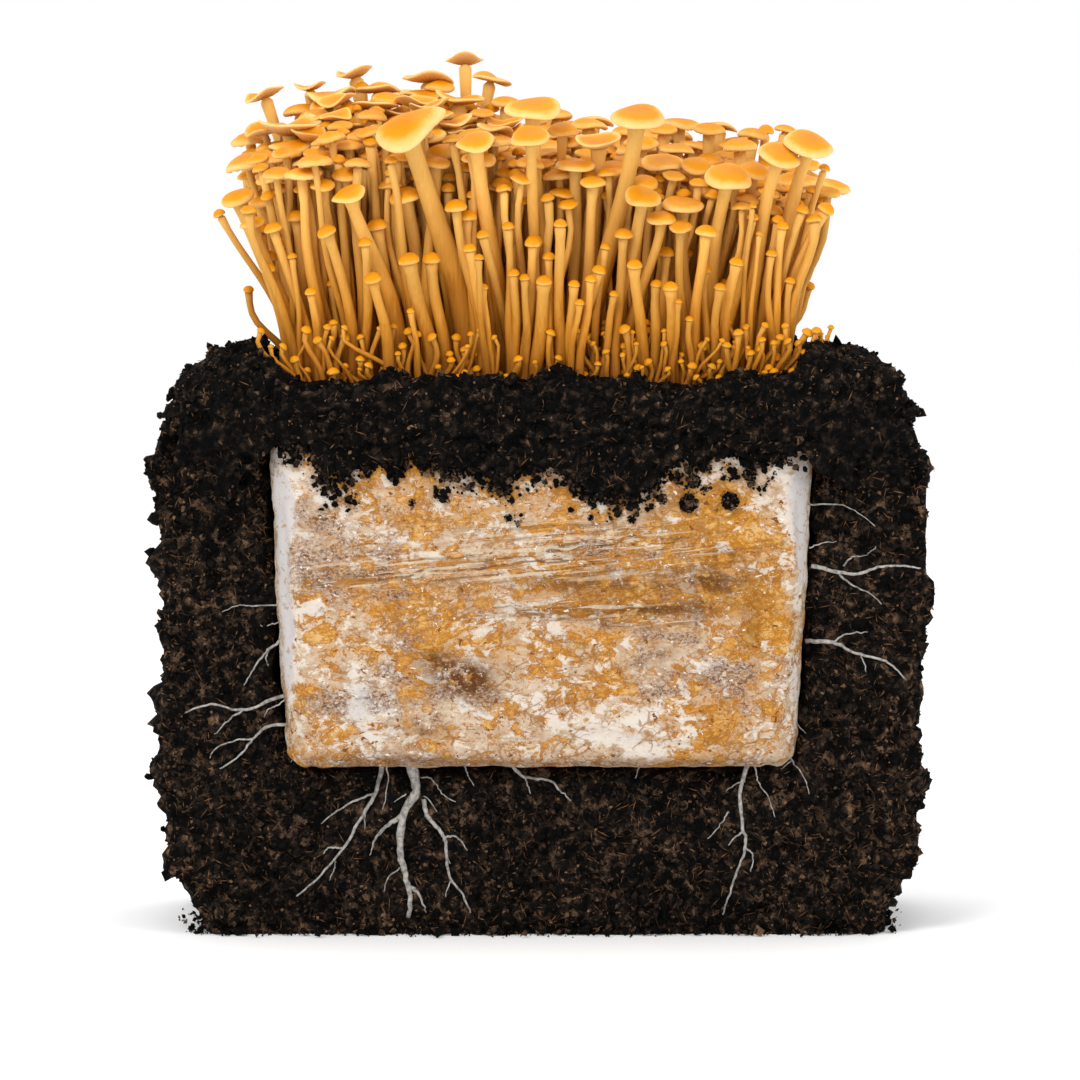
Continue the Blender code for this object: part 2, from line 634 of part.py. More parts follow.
def main():
    clear_scene()
    parts = new_collection("enoki_grow_block")
    helpers = new_collection("cutters")
    soil = finish("garden_soil", (0.017, 0.012, 0.009), 0.95)
    sawdust = finish("colonised_sawdust", (0.56, 0.36, 0.18), 0.8)
    flesh = finish("enoki_flesh", (0.80, 0.40, 0.07), 0.5)
    thread = finish("mycelium_thread", (0.42, 0.40, 0.38), 0.8)

    block_cutter = tapered_block("block_cutter", helpers, GAP)
    hide_helper(block_cutter)
    block = tapered_block("grow_block", parts)
    block.data.materials.append(sawdust)
    soil_bed(parts, soil, block_cutter)
    soil_cover(parts, helpers, soil, block_cutter)

    for number, members in enumerate(grow_clumps(), 1):
        pieces = [mushroom_solid(member, parts) for member in members]
        fuse(f"enoki_clump_{number:02d}", pieces, parts, flesh)

    for name, (width, lines) in STRANDS.items():
        strand(name, width, lines, parts, thread, block_cutter)

    for made in parts.objects:
        made.data.shade_smooth()
        made.data.set_sharp_from_angle(angle=math.radians(40))


main()
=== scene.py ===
# %% [markdown]
# # Golden enoki on a grow block
# A grow block is a brick of damp sawdust, moulded in a bag and knitted together by white mycelium.
# Bedded in soil it sends pale strands outwards, and golden enoki fruit from its top in clumps. The
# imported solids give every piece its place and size. This lesson dresses them: each plain solid is
# replaced by a finely modelled piece in the same place, with a finish worked out from nodes.

# %% Load the frame
import itertools
import math

import bpy
import numpy as np
from mathutils import Matrix, Vector, noise
from mathutils.bvhtree import BVHTree


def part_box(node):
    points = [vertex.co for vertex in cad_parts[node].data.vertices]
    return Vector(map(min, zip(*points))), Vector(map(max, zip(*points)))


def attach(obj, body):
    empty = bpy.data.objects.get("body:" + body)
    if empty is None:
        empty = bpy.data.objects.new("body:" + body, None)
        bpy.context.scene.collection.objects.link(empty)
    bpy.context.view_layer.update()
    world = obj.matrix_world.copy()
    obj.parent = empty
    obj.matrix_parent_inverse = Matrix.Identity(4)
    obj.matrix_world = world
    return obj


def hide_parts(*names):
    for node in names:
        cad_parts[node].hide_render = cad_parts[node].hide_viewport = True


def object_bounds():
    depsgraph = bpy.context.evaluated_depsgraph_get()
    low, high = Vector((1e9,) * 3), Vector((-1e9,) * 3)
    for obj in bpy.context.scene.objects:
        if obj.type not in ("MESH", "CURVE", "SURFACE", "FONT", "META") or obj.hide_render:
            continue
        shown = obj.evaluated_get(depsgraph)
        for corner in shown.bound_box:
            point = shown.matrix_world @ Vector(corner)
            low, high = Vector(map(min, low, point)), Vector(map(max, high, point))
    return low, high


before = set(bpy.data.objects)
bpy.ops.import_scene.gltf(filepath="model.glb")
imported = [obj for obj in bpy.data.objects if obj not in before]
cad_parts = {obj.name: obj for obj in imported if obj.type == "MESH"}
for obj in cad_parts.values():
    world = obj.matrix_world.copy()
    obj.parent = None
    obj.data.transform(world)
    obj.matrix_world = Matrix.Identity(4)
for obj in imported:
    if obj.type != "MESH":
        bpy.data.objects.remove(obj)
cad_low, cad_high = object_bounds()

MM = 0.001
rng = np.random.default_rng(27)
print("solids:", len(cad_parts), "box in mm:", [round(v / MM) for v in cad_high - cad_low])

# %% [markdown]
# ## Camera
# The photo was taken from straight in front and a little above, from far enough away that the block's
# sides hardly narrow. A long lens two metres away gives the same flat view. The block is 200 mm wide
# and fills 549 of the picture's 1080 pixels, and that fixes how much the frame takes in.

# %% Place the camera
IMAGE_WIDTH = 1080
BLOCK_PIXELS = 549
BLOCK_WIDTH = 200 * MM
FRAME_WIDTH = BLOCK_WIDTH * IMAGE_WIDTH / BLOCK_PIXELS
SENSOR_WIDTH = 36
CAMERA_DISTANCE = 2.2
CAMERA_ELEVATION = math.radians(4)
AIM = Vector((-0.4, -66, 146.4)) * MM

camera_data = bpy.data.cameras.new("camera")
camera_data.sensor_width = SENSOR_WIDTH
camera_data.lens = camera_data.sensor_width * CAMERA_DISTANCE / FRAME_WIDTH
camera = bpy.data.objects.new("camera", camera_data)
bpy.context.scene.collection.objects.link(camera)
towards_camera = Vector((0, -math.cos(CAMERA_ELEVATION), math.sin(CAMERA_ELEVATION)))
camera.location = AIM + CAMERA_DISTANCE * towards_camera
camera.rotation_euler = (math.pi / 2 - CAMERA_ELEVATION, 0, 0)
bpy.context.scene.camera = camera
print("lens in mm:", round(camera_data.lens))

# %% [markdown]
# ## Colours and nodes
# A colour picked from a photo is an sRGB value, but Blender's shaders work in linear light, so
# one function turns a hex value into linear numbers. One more function adds a shader node, sets its
# options and fills its inputs, either with a number or with a link from another node.

# %% Colour and node helpers
def linear(hex_colour):
    """An sRGB hex colour as linear red, green, blue and alpha."""
    shares = [int(hex_colour[i : i + 2], 16) / 255 for i in (1, 3, 5)]
    return (*[s / 12.92 if s <= 0.04045 else ((s + 0.055) / 1.055) ** 2.4 for s in shares], 1.0)


def add_node(tree, kind, inputs=None, **settings):
    """Adds a node with its settings, and fills its inputs with values or with links."""
    made = tree.nodes.new(kind)
    for key, value in settings.items():
        setattr(made, key, value)
    for key, value in (inputs or {}).items():
        if isinstance(value, bpy.types.NodeSocket):
            tree.links.new(value, made.inputs[key])
        else:
            made.inputs[key].default_value = value
    return made


def new_material(name, **values):
    """A material, its node tree and its Principled shader with those values set on its own sockets."""
    material = bpy.data.materials.new(name)
    material.use_nodes = True
    shader = material.node_tree.nodes["Principled BSDF"]
    for label, value in values.items():
        shader.inputs[label.replace("_", " ")].default_value = value
    return material, material.node_tree, shader


# %% [markdown]
# ## Studio
# The object is lit as a packshot: it stands on white paper under an evenly white sky, with a broad soft
# light above the front and two weaker ones at the side and above. The paper could be bent up behind it,
# but light would then go to and fro between its walls, which takes long to render. Here the paper is so
# wide that its edge is lost in the sky, and it looks the same from every side.

# %% Lay the paper
PAPER_HALF = 12
PAPER_CORNERS = [(-1, -1, 0), (1, -1, 0), (1, 1, 0), (-1, 1, 0)]

floor_mesh = bpy.data.meshes.new("studio_floor")
floor_mesh.from_pydata([Vector(corner) * PAPER_HALF for corner in PAPER_CORNERS], [], [(0, 1, 2, 3)])
floor = bpy.data.objects.new("studio_floor", floor_mesh)
bpy.context.scene.collection.objects.link(floor)
print("paper, in metres:", 2 * PAPER_HALF)

# %% [markdown]
# Matt paper: plain fibres pressed flat, so it has no gloss to speak of and gives an even white ground.

# %% Paper and lights
paper, _, _ = new_material("matt_backdrop_paper", Base_Color=linear("#FFFFFF"), Roughness=0.95)
floor_mesh.materials.append(paper)

sky = bpy.data.worlds.new("white_sky")
sky.use_nodes = True
sky.node_tree.nodes["Background"].inputs["Color"].default_value = linear("#FFFFFF")
bpy.context.scene.world = sky
bpy.context.scene.view_settings.view_transform = "Standard"

LIT_SPOT = Vector((0, 0, 0.2))
# Each light: its place and its width in metres, and its power in watts.
LIGHTS = {
    "key_softbox": ((-0.8, -1.6, 1.6), 0.8, 21.5),
    "side_softbox": ((1.6, -1.1, 0.9), 0.9, 5.2),
    "top_softbox": ((0.1, 0.6, 1.9), 1.0, 7.7),
}
for name, (place, size, watts) in LIGHTS.items():
    data = bpy.data.lights.new(name, "AREA")
    data.size, data.energy = size, watts
    lamp = bpy.data.objects.new(name, data)
    lamp.location = place
    lamp.rotation_euler = (LIT_SPOT - lamp.location).to_track_quat("-Z", "Y").to_euler()
    bpy.context.scene.collection.objects.link(lamp)
print("lights:", list(LIGHTS))

# %% [markdown]
# ## Making pieces
# Hundreds of stems and thousands of crumbs would be slow as separate objects, and instances wouldn't
# survive an export. So many small shapes are gathered in one pile of points and faces, with a few
# numbers on each point that the shaders read, and the pile becomes one mesh.

# %% Turn points and faces into a piece
def add_piece(name, points, faces, materials, stands_for=(), kinds=None, values=None, smooth=True):
    """A mesh object that rides on the frame. kinds picks a material for each face, values go on points."""
    mesh = bpy.data.meshes.new(name)
    mesh.from_pydata(np.asarray(points).tolist(), [], faces)
    for material in materials:
        mesh.materials.append(material)
    if kinds is not None:
        mesh.polygons.foreach_set("material_index", kinds)
    for label, numbers in (values or {}).items():
        attribute = mesh.attributes.new(label, "FLOAT", "POINT")
        attribute.data.foreach_set("value", np.asarray(numbers, np.float32))
    if smooth:
        mesh.shade_smooth()
    piece = bpy.data.objects.new(name, mesh)
    bpy.context.scene.collection.objects.link(piece)
    if stands_for:
        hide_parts(*stands_for)
    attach(piece, "root")
    return piece


class Pile:
    """Many small closed shapes that become one mesh."""

    def __init__(self, *labels):
        self.points, self.faces, self.kinds, self.count = [], [], [], 0
        self.values = {label: [] for label in labels}

    def add_rings(self, rings, kinds, **values):
        """Rings of points joined by quads and closed at both ends. There is one kind for each band."""
        bands, sides = len(rings) - 1, len(rings[0])
        start = self.count
        for band in range(bands):
            low = start + band * sides
            self.faces += [
                (low + i, low + (i + 1) % sides, low + sides + (i + 1) % sides, low + sides + i)
                for i in range(sides)
            ]
            self.kinds += [kinds[band]] * sides
        self.faces.append(tuple(start + sides - 1 - i for i in range(sides)))
        self.faces.append(tuple(start + bands * sides + i for i in range(sides)))
        self.kinds += [kinds[0], kinds[-1]]
        self.points.append(np.reshape(rings, (-1, 3)))
        self.count += (bands + 1) * sides
        for label, numbers in values.items():
            self.values[label].append(np.broadcast_to(numbers, (bands + 1, sides)).reshape(-1))

    def become(self, name, materials, slot, stands_for=()):
        """The pile as one piece."""
        values = {label: np.concatenate(rows) for label, rows in self.values.items()}
        points = np.concatenate(self.points)
        return add_piece(name, points, self.faces, materials, stands_for, self.kinds, values)


# %% [markdown]
# ## Finish of the mushrooms
# Enoki flesh is pale, damp and slightly see-through, so light that enters a stem comes out again a few
# millimetres away, warmer in colour. Subsurface scattering gives that glow. The cap has a thin skin
# that is deep orange in the middle and fades to cream at its rim. A stem is cream under the cap, and
# browner towards its foot, and is made of long fibres, which show as faint streaks along it.
#
# Such colours could be painted on by hand. Here they are built up in layers over a ground instead, as
# with paint. A mask says how much a layer shows. It comes from a field: a pattern, or a number that the
# points carry, such as a cap's share of the way from its middle to its rim.

# %% Masks, layers and relief
def readings(tree, *labels):
    """Where a point is, and the numbers that it carries under those labels."""
    attributes = [add_node(tree, "ShaderNodeAttribute", attribute_name=label) for label in labels]
    place = add_node(tree, "ShaderNodeNewGeometry").outputs["Position"]
    return place, *[attribute.outputs["Fac"] for attribute in attributes]


def lifted(tree, field, *lifts):
    """A field raised by shares of others, or lowered where a share is negative."""
    for other, share in lifts:
        inputs = {0: other, 1: share, 2: field}
        field = add_node(tree, "ShaderNodeMath", inputs, operation="MULTIPLY_ADD").outputs[0]
    return field


def mask(tree, *edges, strength=1.0):
    """A product of soft edges. Each edge is a field, and the values where it starts and ends."""
    shows = strength
    for field, start, end in edges:
        edge = add_node(tree, "ShaderNodeMapRange", {"Value": field, "From Min": start, "From Max": end})
        both = add_node(tree, "ShaderNodeMath", {0: edge.outputs[0], 1: shows}, operation="MULTIPLY")
        shows = both.outputs[0]
    return shows


def layered(tree, under, *layers):
    """A colour with others laid over it in turn. Each layer is a colour and its mask."""
    for over, shows in layers:
        mixed = add_node(tree, "ShaderNodeMix", {0: shows, 6: under, 7: over}, data_type="RGBA")
        under = mixed.outputs[2]
    return under


def coat(tree, shader, colour, *reliefs):
    """Gives a shader its colour and its relief. Each relief is a field, a strength and a height."""
    tree.links.new(colour, shader.inputs["Base Color"])
    below = {}
    for field, strength, height in reliefs:
        inputs = {"Height": field, "Strength": strength, "Distance": height, **below}
        normal = add_node(tree, "ShaderNodeBump", inputs).outputs["Normal"]
        tree.links.new(normal, shader.inputs["Normal"])
        below = {"Normal": normal}


# %% Cap skin
# Cap skin: a smooth, slightly moist cuticle. It gives the eye a satin sheen over a glowing orange.
FLESH = dict(
    Subsurface_Weight=0.15, Subsurface_Scale=2.5 * MM, Subsurface_Radius=(1.0, 0.55, 0.2),
    IOR=1.4, Specular_IOR_Level=0.2,
)
CAP_BLOTCH, CAP_GRAIN = 3.5 * MM, 0.5 * MM

cap_skin, tree, shader = new_material("enoki_cap_skin", Roughness=0.48, **FLESH)
place, share, tint = readings(tree, "share", "tint")
blotch = add_node(tree, "ShaderNodeTexNoise", {"Vector": place, "Scale": 1 / CAP_BLOTCH, "Detail": 3.0})
outwards = lifted(tree, share, (blotch.outputs["Fac"], 0.28))
colour = layered(
    tree, linear("#D28200"),
    (linear("#E69C0C"), mask(tree, (outwards, 0.25, 0.85))),
    (linear("#F6D390"), mask(tree, (outwards, 0.62, 1.14))),
)
own_shade = add_node(tree, "ShaderNodeMapRange", {"Value": tint, "To Min": 0.9, "To Max": 1.06})
varied = add_node(tree, "ShaderNodeHueSaturation", {"Color": colour, "Value": own_shade.outputs[0]})
pores = add_node(tree, "ShaderNodeTexNoise", {"Vector": place, "Scale": 1 / CAP_GRAIN, "Detail": 2.0})
coat(tree, shader, varied.outputs["Color"], (pores.outputs["Fac"], 0.15, 0.1 * MM))

# %% Gills
# Gills: thin plates of the same flesh. They give the eye fine lines that darken towards the stem.
gill_flesh, tree, shader = new_material("enoki_gills", Roughness=0.7, **FLESH)
share = add_node(tree, "ShaderNodeAttribute", attribute_name="share").outputs["Fac"]
coat(tree, shader, layered(tree, linear("#BE8436"), (linear("#F6D092"), share)))

# %% Stem
# Stem: a bundle of long threads with a dry matt surface. It gives the eye soft streaks and a speckle.
STEM_STREAK = 0.9 * MM
ALONG_STEM = (1.0, 1.0, 0.06)  # draws the streaks out upwards

stem_flesh, tree, shader = new_material("enoki_stem", Roughness=0.62, **FLESH)
place, share, tint = readings(tree, "share", "tint")
along = add_node(tree, "ShaderNodeMapping", {"Vector": place, "Scale": ALONG_STEM}).outputs[0]
streaks = add_node(tree, "ShaderNodeTexNoise", {"Vector": along, "Scale": 1 / STEM_STREAK, "Detail": 3.0})
upwards = lifted(tree, share, (streaks.outputs["Fac"], 0.35))
colour = layered(
    tree, linear("#7C3C05"),
    (linear("#CC8828"), mask(tree, (upwards, 0.1, 0.62))),
    (linear("#EEBC66"), mask(tree, (upwards, 0.55, 1.25))),
)
own_shade = add_node(tree, "ShaderNodeMapRange", {"Value": tint, "To Min": 0.8, "To Max": 1.04})
varied = add_node(tree, "ShaderNodeHueSaturation", {"Color": colour, "Value": own_shade.outputs[0]})
coat(tree, shader, varied.outputs["Color"], (streaks.outputs["Fac"], 0.35, 0.2 * MM))

# %% [markdown]
# ## Shape of one mushroom
# A mushroom could be sculpted, but here every one is drawn by the same rule. Its stem is a tube along a
# curve that leaves its foot upright and meets the cap square on. Its cap is a profile turned about the
# cap's own axis: a button when young, a flat plate later, and a cup with its rim turned up when old.
# The turned rings are then made wavy, and on the underside every second point drops, for the gills.

# %% Place of one mushroom
BLOCK_TOP = 200 * MM
GAP = 0.3 * MM
STEM_FOOT_SWELL = 1.35
STEM_TIP_SHARE = 0.9
STEM_RISE = 0.38
STEM_TURN = 0.34
STEM_TAPER = 0.6
STEM_BALLS, FOOT_BALLS = 14, 6
CAP_BALLS = ((0.5, 6), (0.88, 12))  # how far out each ring of them is, and how many it has
YOUNG_CAP = 9 * MM
WIDE_CAP = 14 * MM
BUTTON_DOME, OPEN_DOME, FLAT_DOME = 0.85, 0.5, 0.32


class Mushroom:
    """One enoki: where it stands, where its cap is, and how the cap tilts."""

    def __init__(self, foot, row):
        across, depth, height, cap, stem, right, forward = row
        self.foot = Vector(foot)
        self.tip = Vector((across * MM, depth * MM, BLOCK_TOP + height * MM))
        self.cap = cap * MM / 2
        self.stem = stem * MM / 2
        leans = Vector((math.sin(math.radians(right)), -math.sin(math.radians(forward)), 1))
        self.axis = leans.normalized()

    def dome(self):
        """The cap's height over its radius: a button when young, flatter as it widens."""
        if 2 * self.cap < YOUNG_CAP:
            return BUTTON_DOME
        return OPEN_DOME if 2 * self.cap < WIDE_CAP else FLAT_DOME

    def stem_point(self, share):
        """A point of the stem's centreline, from foot to cap: it rises, then turns to the cap."""
        length = (self.tip - self.foot).length
        rise = self.foot + Vector((0, 0, STEM_RISE * length))
        turn = self.tip - self.axis * STEM_TURN * length
        left = 1 - share
        start, end = self.foot * left**3, self.tip * share**3
        return start + rise * 3 * left**2 * share + turn * 3 * left * share**2 + end

    def stem_radius(self, share):
        """The stem is swollen at its foot and tapers towards the cap."""
        return self.stem * (STEM_FOOT_SWELL + (STEM_TIP_SHARE - STEM_FOOT_SWELL) * share**STEM_TAPER)

    def body(self):
        """Spheres that fill the stem and the cap: centres, radii, and which are near the foot."""
        balls = []
        for step in range(STEM_BALLS):
            share = step / (STEM_BALLS - 1)
            balls.append((*self.stem_point(share), self.stem_radius(share), step < FOOT_BALLS))
        side = self.axis.orthogonal().normalized()
        thick = self.cap * self.dome() / 2
        middle = self.tip + self.axis * thick
        balls.append((*middle, thick, False))
        for ring, count in CAP_BALLS:
            for spoke in range(count):
                turn = Matrix.Rotation(spoke * math.tau / count, 3, self.axis)
                at = middle + turn @ side * self.cap * ring - self.axis * thick * ring * 0.5
                balls.append((*at, thick * (1 - 0.55 * ring), False))
        return np.array(balls)


# %% [markdown]
# The cap's profile is a short list of places from the apex over the rim to the stem, each with how far
# out and how far up it is as a share of the cap's radius, and a number that says where on the skin it
# is, for the colour. Three profiles are kept, and a cap is a blend of two of them.

# %% Cap profiles
# Each row: out, up, share of the way to the rim, and kind (0 skin, 1 gills).
BUTTON = [
    (0.02, 0.92, 0.0, 0), (0.3, 0.87, 0.12, 0), (0.56, 0.75, 0.3, 0), (0.79, 0.55, 0.5, 0),
    (0.94, 0.3, 0.68, 0), (1.0, 0.06, 0.86, 0), (0.97, -0.1, 1.0, 0), (0.88, -0.18, 1.0, 0),
    (0.76, -0.15, 1.0, 1), (0.62, -0.04, 0.6, 1), (0.46, 0.04, 0.2, 1), (0.3, 0.1, 0.0, 1),
]
PLATE = [
    (0.02, 0.3, 0.0, 0), (0.28, 0.29, 0.12, 0), (0.55, 0.25, 0.34, 0), (0.78, 0.17, 0.6, 0),
    (0.93, 0.08, 0.84, 0), (1.0, -0.01, 0.97, 0), (0.99, -0.06, 1.0, 0), (0.95, -0.09, 1.0, 0),
    (0.88, -0.08, 1.0, 1), (0.64, 0.0, 0.7, 1), (0.4, 0.04, 0.35, 1), (0.2, 0.0, 0.0, 1),
]
CUP = [
    (0.02, 0.05, 0.0, 0), (0.28, 0.08, 0.12, 0), (0.55, 0.16, 0.36, 0), (0.78, 0.27, 0.62, 0),
    (0.92, 0.35, 0.84, 0), (1.0, 0.36, 0.97, 0), (1.0, 0.31, 1.0, 0), (0.97, 0.28, 1.0, 0),
    (0.9, 0.24, 1.0, 1), (0.64, 0.08, 0.7, 1), (0.36, -0.1, 0.35, 1), (0.2, -0.2, 0.0, 1),
]

# A cap with few sides needs fewer rows too. For each number of sides: the rows that are kept.
FEWER_ROWS = {10: (0, 2, 4, 5, 7, 11), 12: (0, 2, 4, 5, 7, 9, 11), 22: (0, 1, 3, 4, 5, 7, 8, 10, 11)}


def blended(first, second, share):
    """A profile that is that share of the way from the first to the second."""
    return [
        (*[a + (b - a) * share for a, b in zip(one[:3], two[:3])], one[3]) for one, two in zip(first, second)
    ]


# %% Directions across an axis
def frame_along(axis):
    """Two directions square to an axis. The first looks as nearly to the right as it can."""
    right = (Vector((1, 0, 0)) - axis * axis.x).normalized()
    return np.array(right), np.array(axis.cross(right))


# %% [markdown]
# A cap's outline isn't a circle and its rim isn't level, so both get two slow waves round the cap, which
# grow towards the rim. A stem sways a little, thickens and thins, and flares where it meets the cap.

# %% Rings of a cap and of a stem
GILLS_FROM, GILLS_TO, GILL_DROP = 0.3, 0.88, 0.07
LOBE_AT, LOBE_WIDTH = 0.65, 0.42
PALE_CAP, PALE_STEM = 30 * MM, 80 * MM


def cap_rings(mushroom, shape, sides, wave, lobe, phase):
    """Rings from the apex over the rim to the stem, the kind of each band, and each ring's share."""
    turn = np.arange(sides) * math.tau / sides
    profile = blended(PLATE, CUP, shape) if shape > 0 else blended(PLATE, BUTTON, -shape)
    profile = [profile[index] for index in FEWER_ROWS.get(sides, range(len(profile)))]
    waviness = np.sin(2 * turn + phase[0]) + 0.6 * np.sin(3 * turn + phase[1])
    outline = 1 + wave * (0.7 * np.sin(2 * turn + phase[2]) + 0.4 * np.sin(3 * turn + phase[3]))
    outline = outline + lobe * (np.exp(-(((turn - LOBE_AT) / LOBE_WIDTH) ** 2)) - 0.2)
    right, back = frame_along(mushroom.axis)
    axis, tip = np.array(mushroom.axis), np.array(mushroom.tip)
    spokes = np.cos(turn)[:, None] * right + np.sin(turn)[:, None] * back
    every_second = np.where(np.arange(sides) % 2, 1.0, 0.0)
    rings = []
    for out, up, _, kind in profile:
        rise = up + wave * waviness * out**2
        if kind and GILLS_FROM < out < GILLS_TO:
            rise = rise - GILL_DROP * every_second
        reach = mushroom.cap * out * (1 + (outline - 1) * out)
        rings.append(tip + spokes * reach[:, None] + axis * (mushroom.cap * rise)[:, None])
    paleness = min(1.0, 0.6 + mushroom.cap / PALE_CAP)
    return rings, [row[3] for row in profile[1:]], paleness * np.array([row[2] for row in profile])[:, None]


def stem_rings(mushroom, sides, steps, bend, phase):
    """Rings from inside the cap down to the foot, the kind of each band, and each ring's share."""
    around = np.arange(sides) * math.tau / sides
    flat = 1 + 0.06 * np.sin(2 * around + phase[0])
    rings, shares = [], []
    for step in range(steps):
        share = step / (steps - 1)
        centre = np.array(mushroom.stem_point(share * 0.98))
        centre[:2] += bend * math.sin(math.pi * share) ** 0.7 * np.sin(6.5 * share + phase[2:])
        below, above = (mushroom.stem_point(min(max(share + side, 0), 1)) for side in (-0.02, 0.02))
        one, two = frame_along((above - below).normalized())
        radius = mushroom.stem_radius(share) * (1 + 0.05 * math.sin(9 * share + phase[1]))
        radius = radius * (1 + 0.25 * max(0.0, (share - 0.94) / 0.06)) * flat
        beside, behind = (np.cos(around) * radius)[:, None], (np.sin(around) * radius)[:, None]
        rings.append(centre + beside * one + behind * two)
        shares.append(share)
    inside_cap = np.array(mushroom.tip) + np.array(mushroom.axis) * mushroom.cap * 0.02
    rings.append(inside_cap + 0.3 * (rings[-1] - rings[-1].mean(axis=0)))
    shares.append(1.0)
    paleness = min(1.0, 0.35 + 0.65 * (mushroom.tip.z - BLOCK_TOP) / PALE_STEM)
    return rings[::-1], [2] * (len(rings) - 1), paleness * np.array(shares[::-1])[:, None]


# %% Draw one mushroom into a pile
def grow(pile, mushroom, shape, wave, sides, stem_sides, stem_steps, bend=0.5 * MM, lobe=0.0):
    """Adds a cap and a stem. shape goes from -1, a button, over 0, a plate, to 1, a cup."""
    tint = rng.random()
    phase = rng.random(4) * math.tau
    for rings, kinds, shares in (
        cap_rings(mushroom, shape, sides, wave, lobe, phase),
        stem_rings(mushroom, stem_sides, stem_steps, bend, phase),
    ):
        pile.add_rings(rings, kinds, share=shares, tint=tint)


MUSHROOM_FINISH = [cap_skin, gill_flesh, stem_flesh]
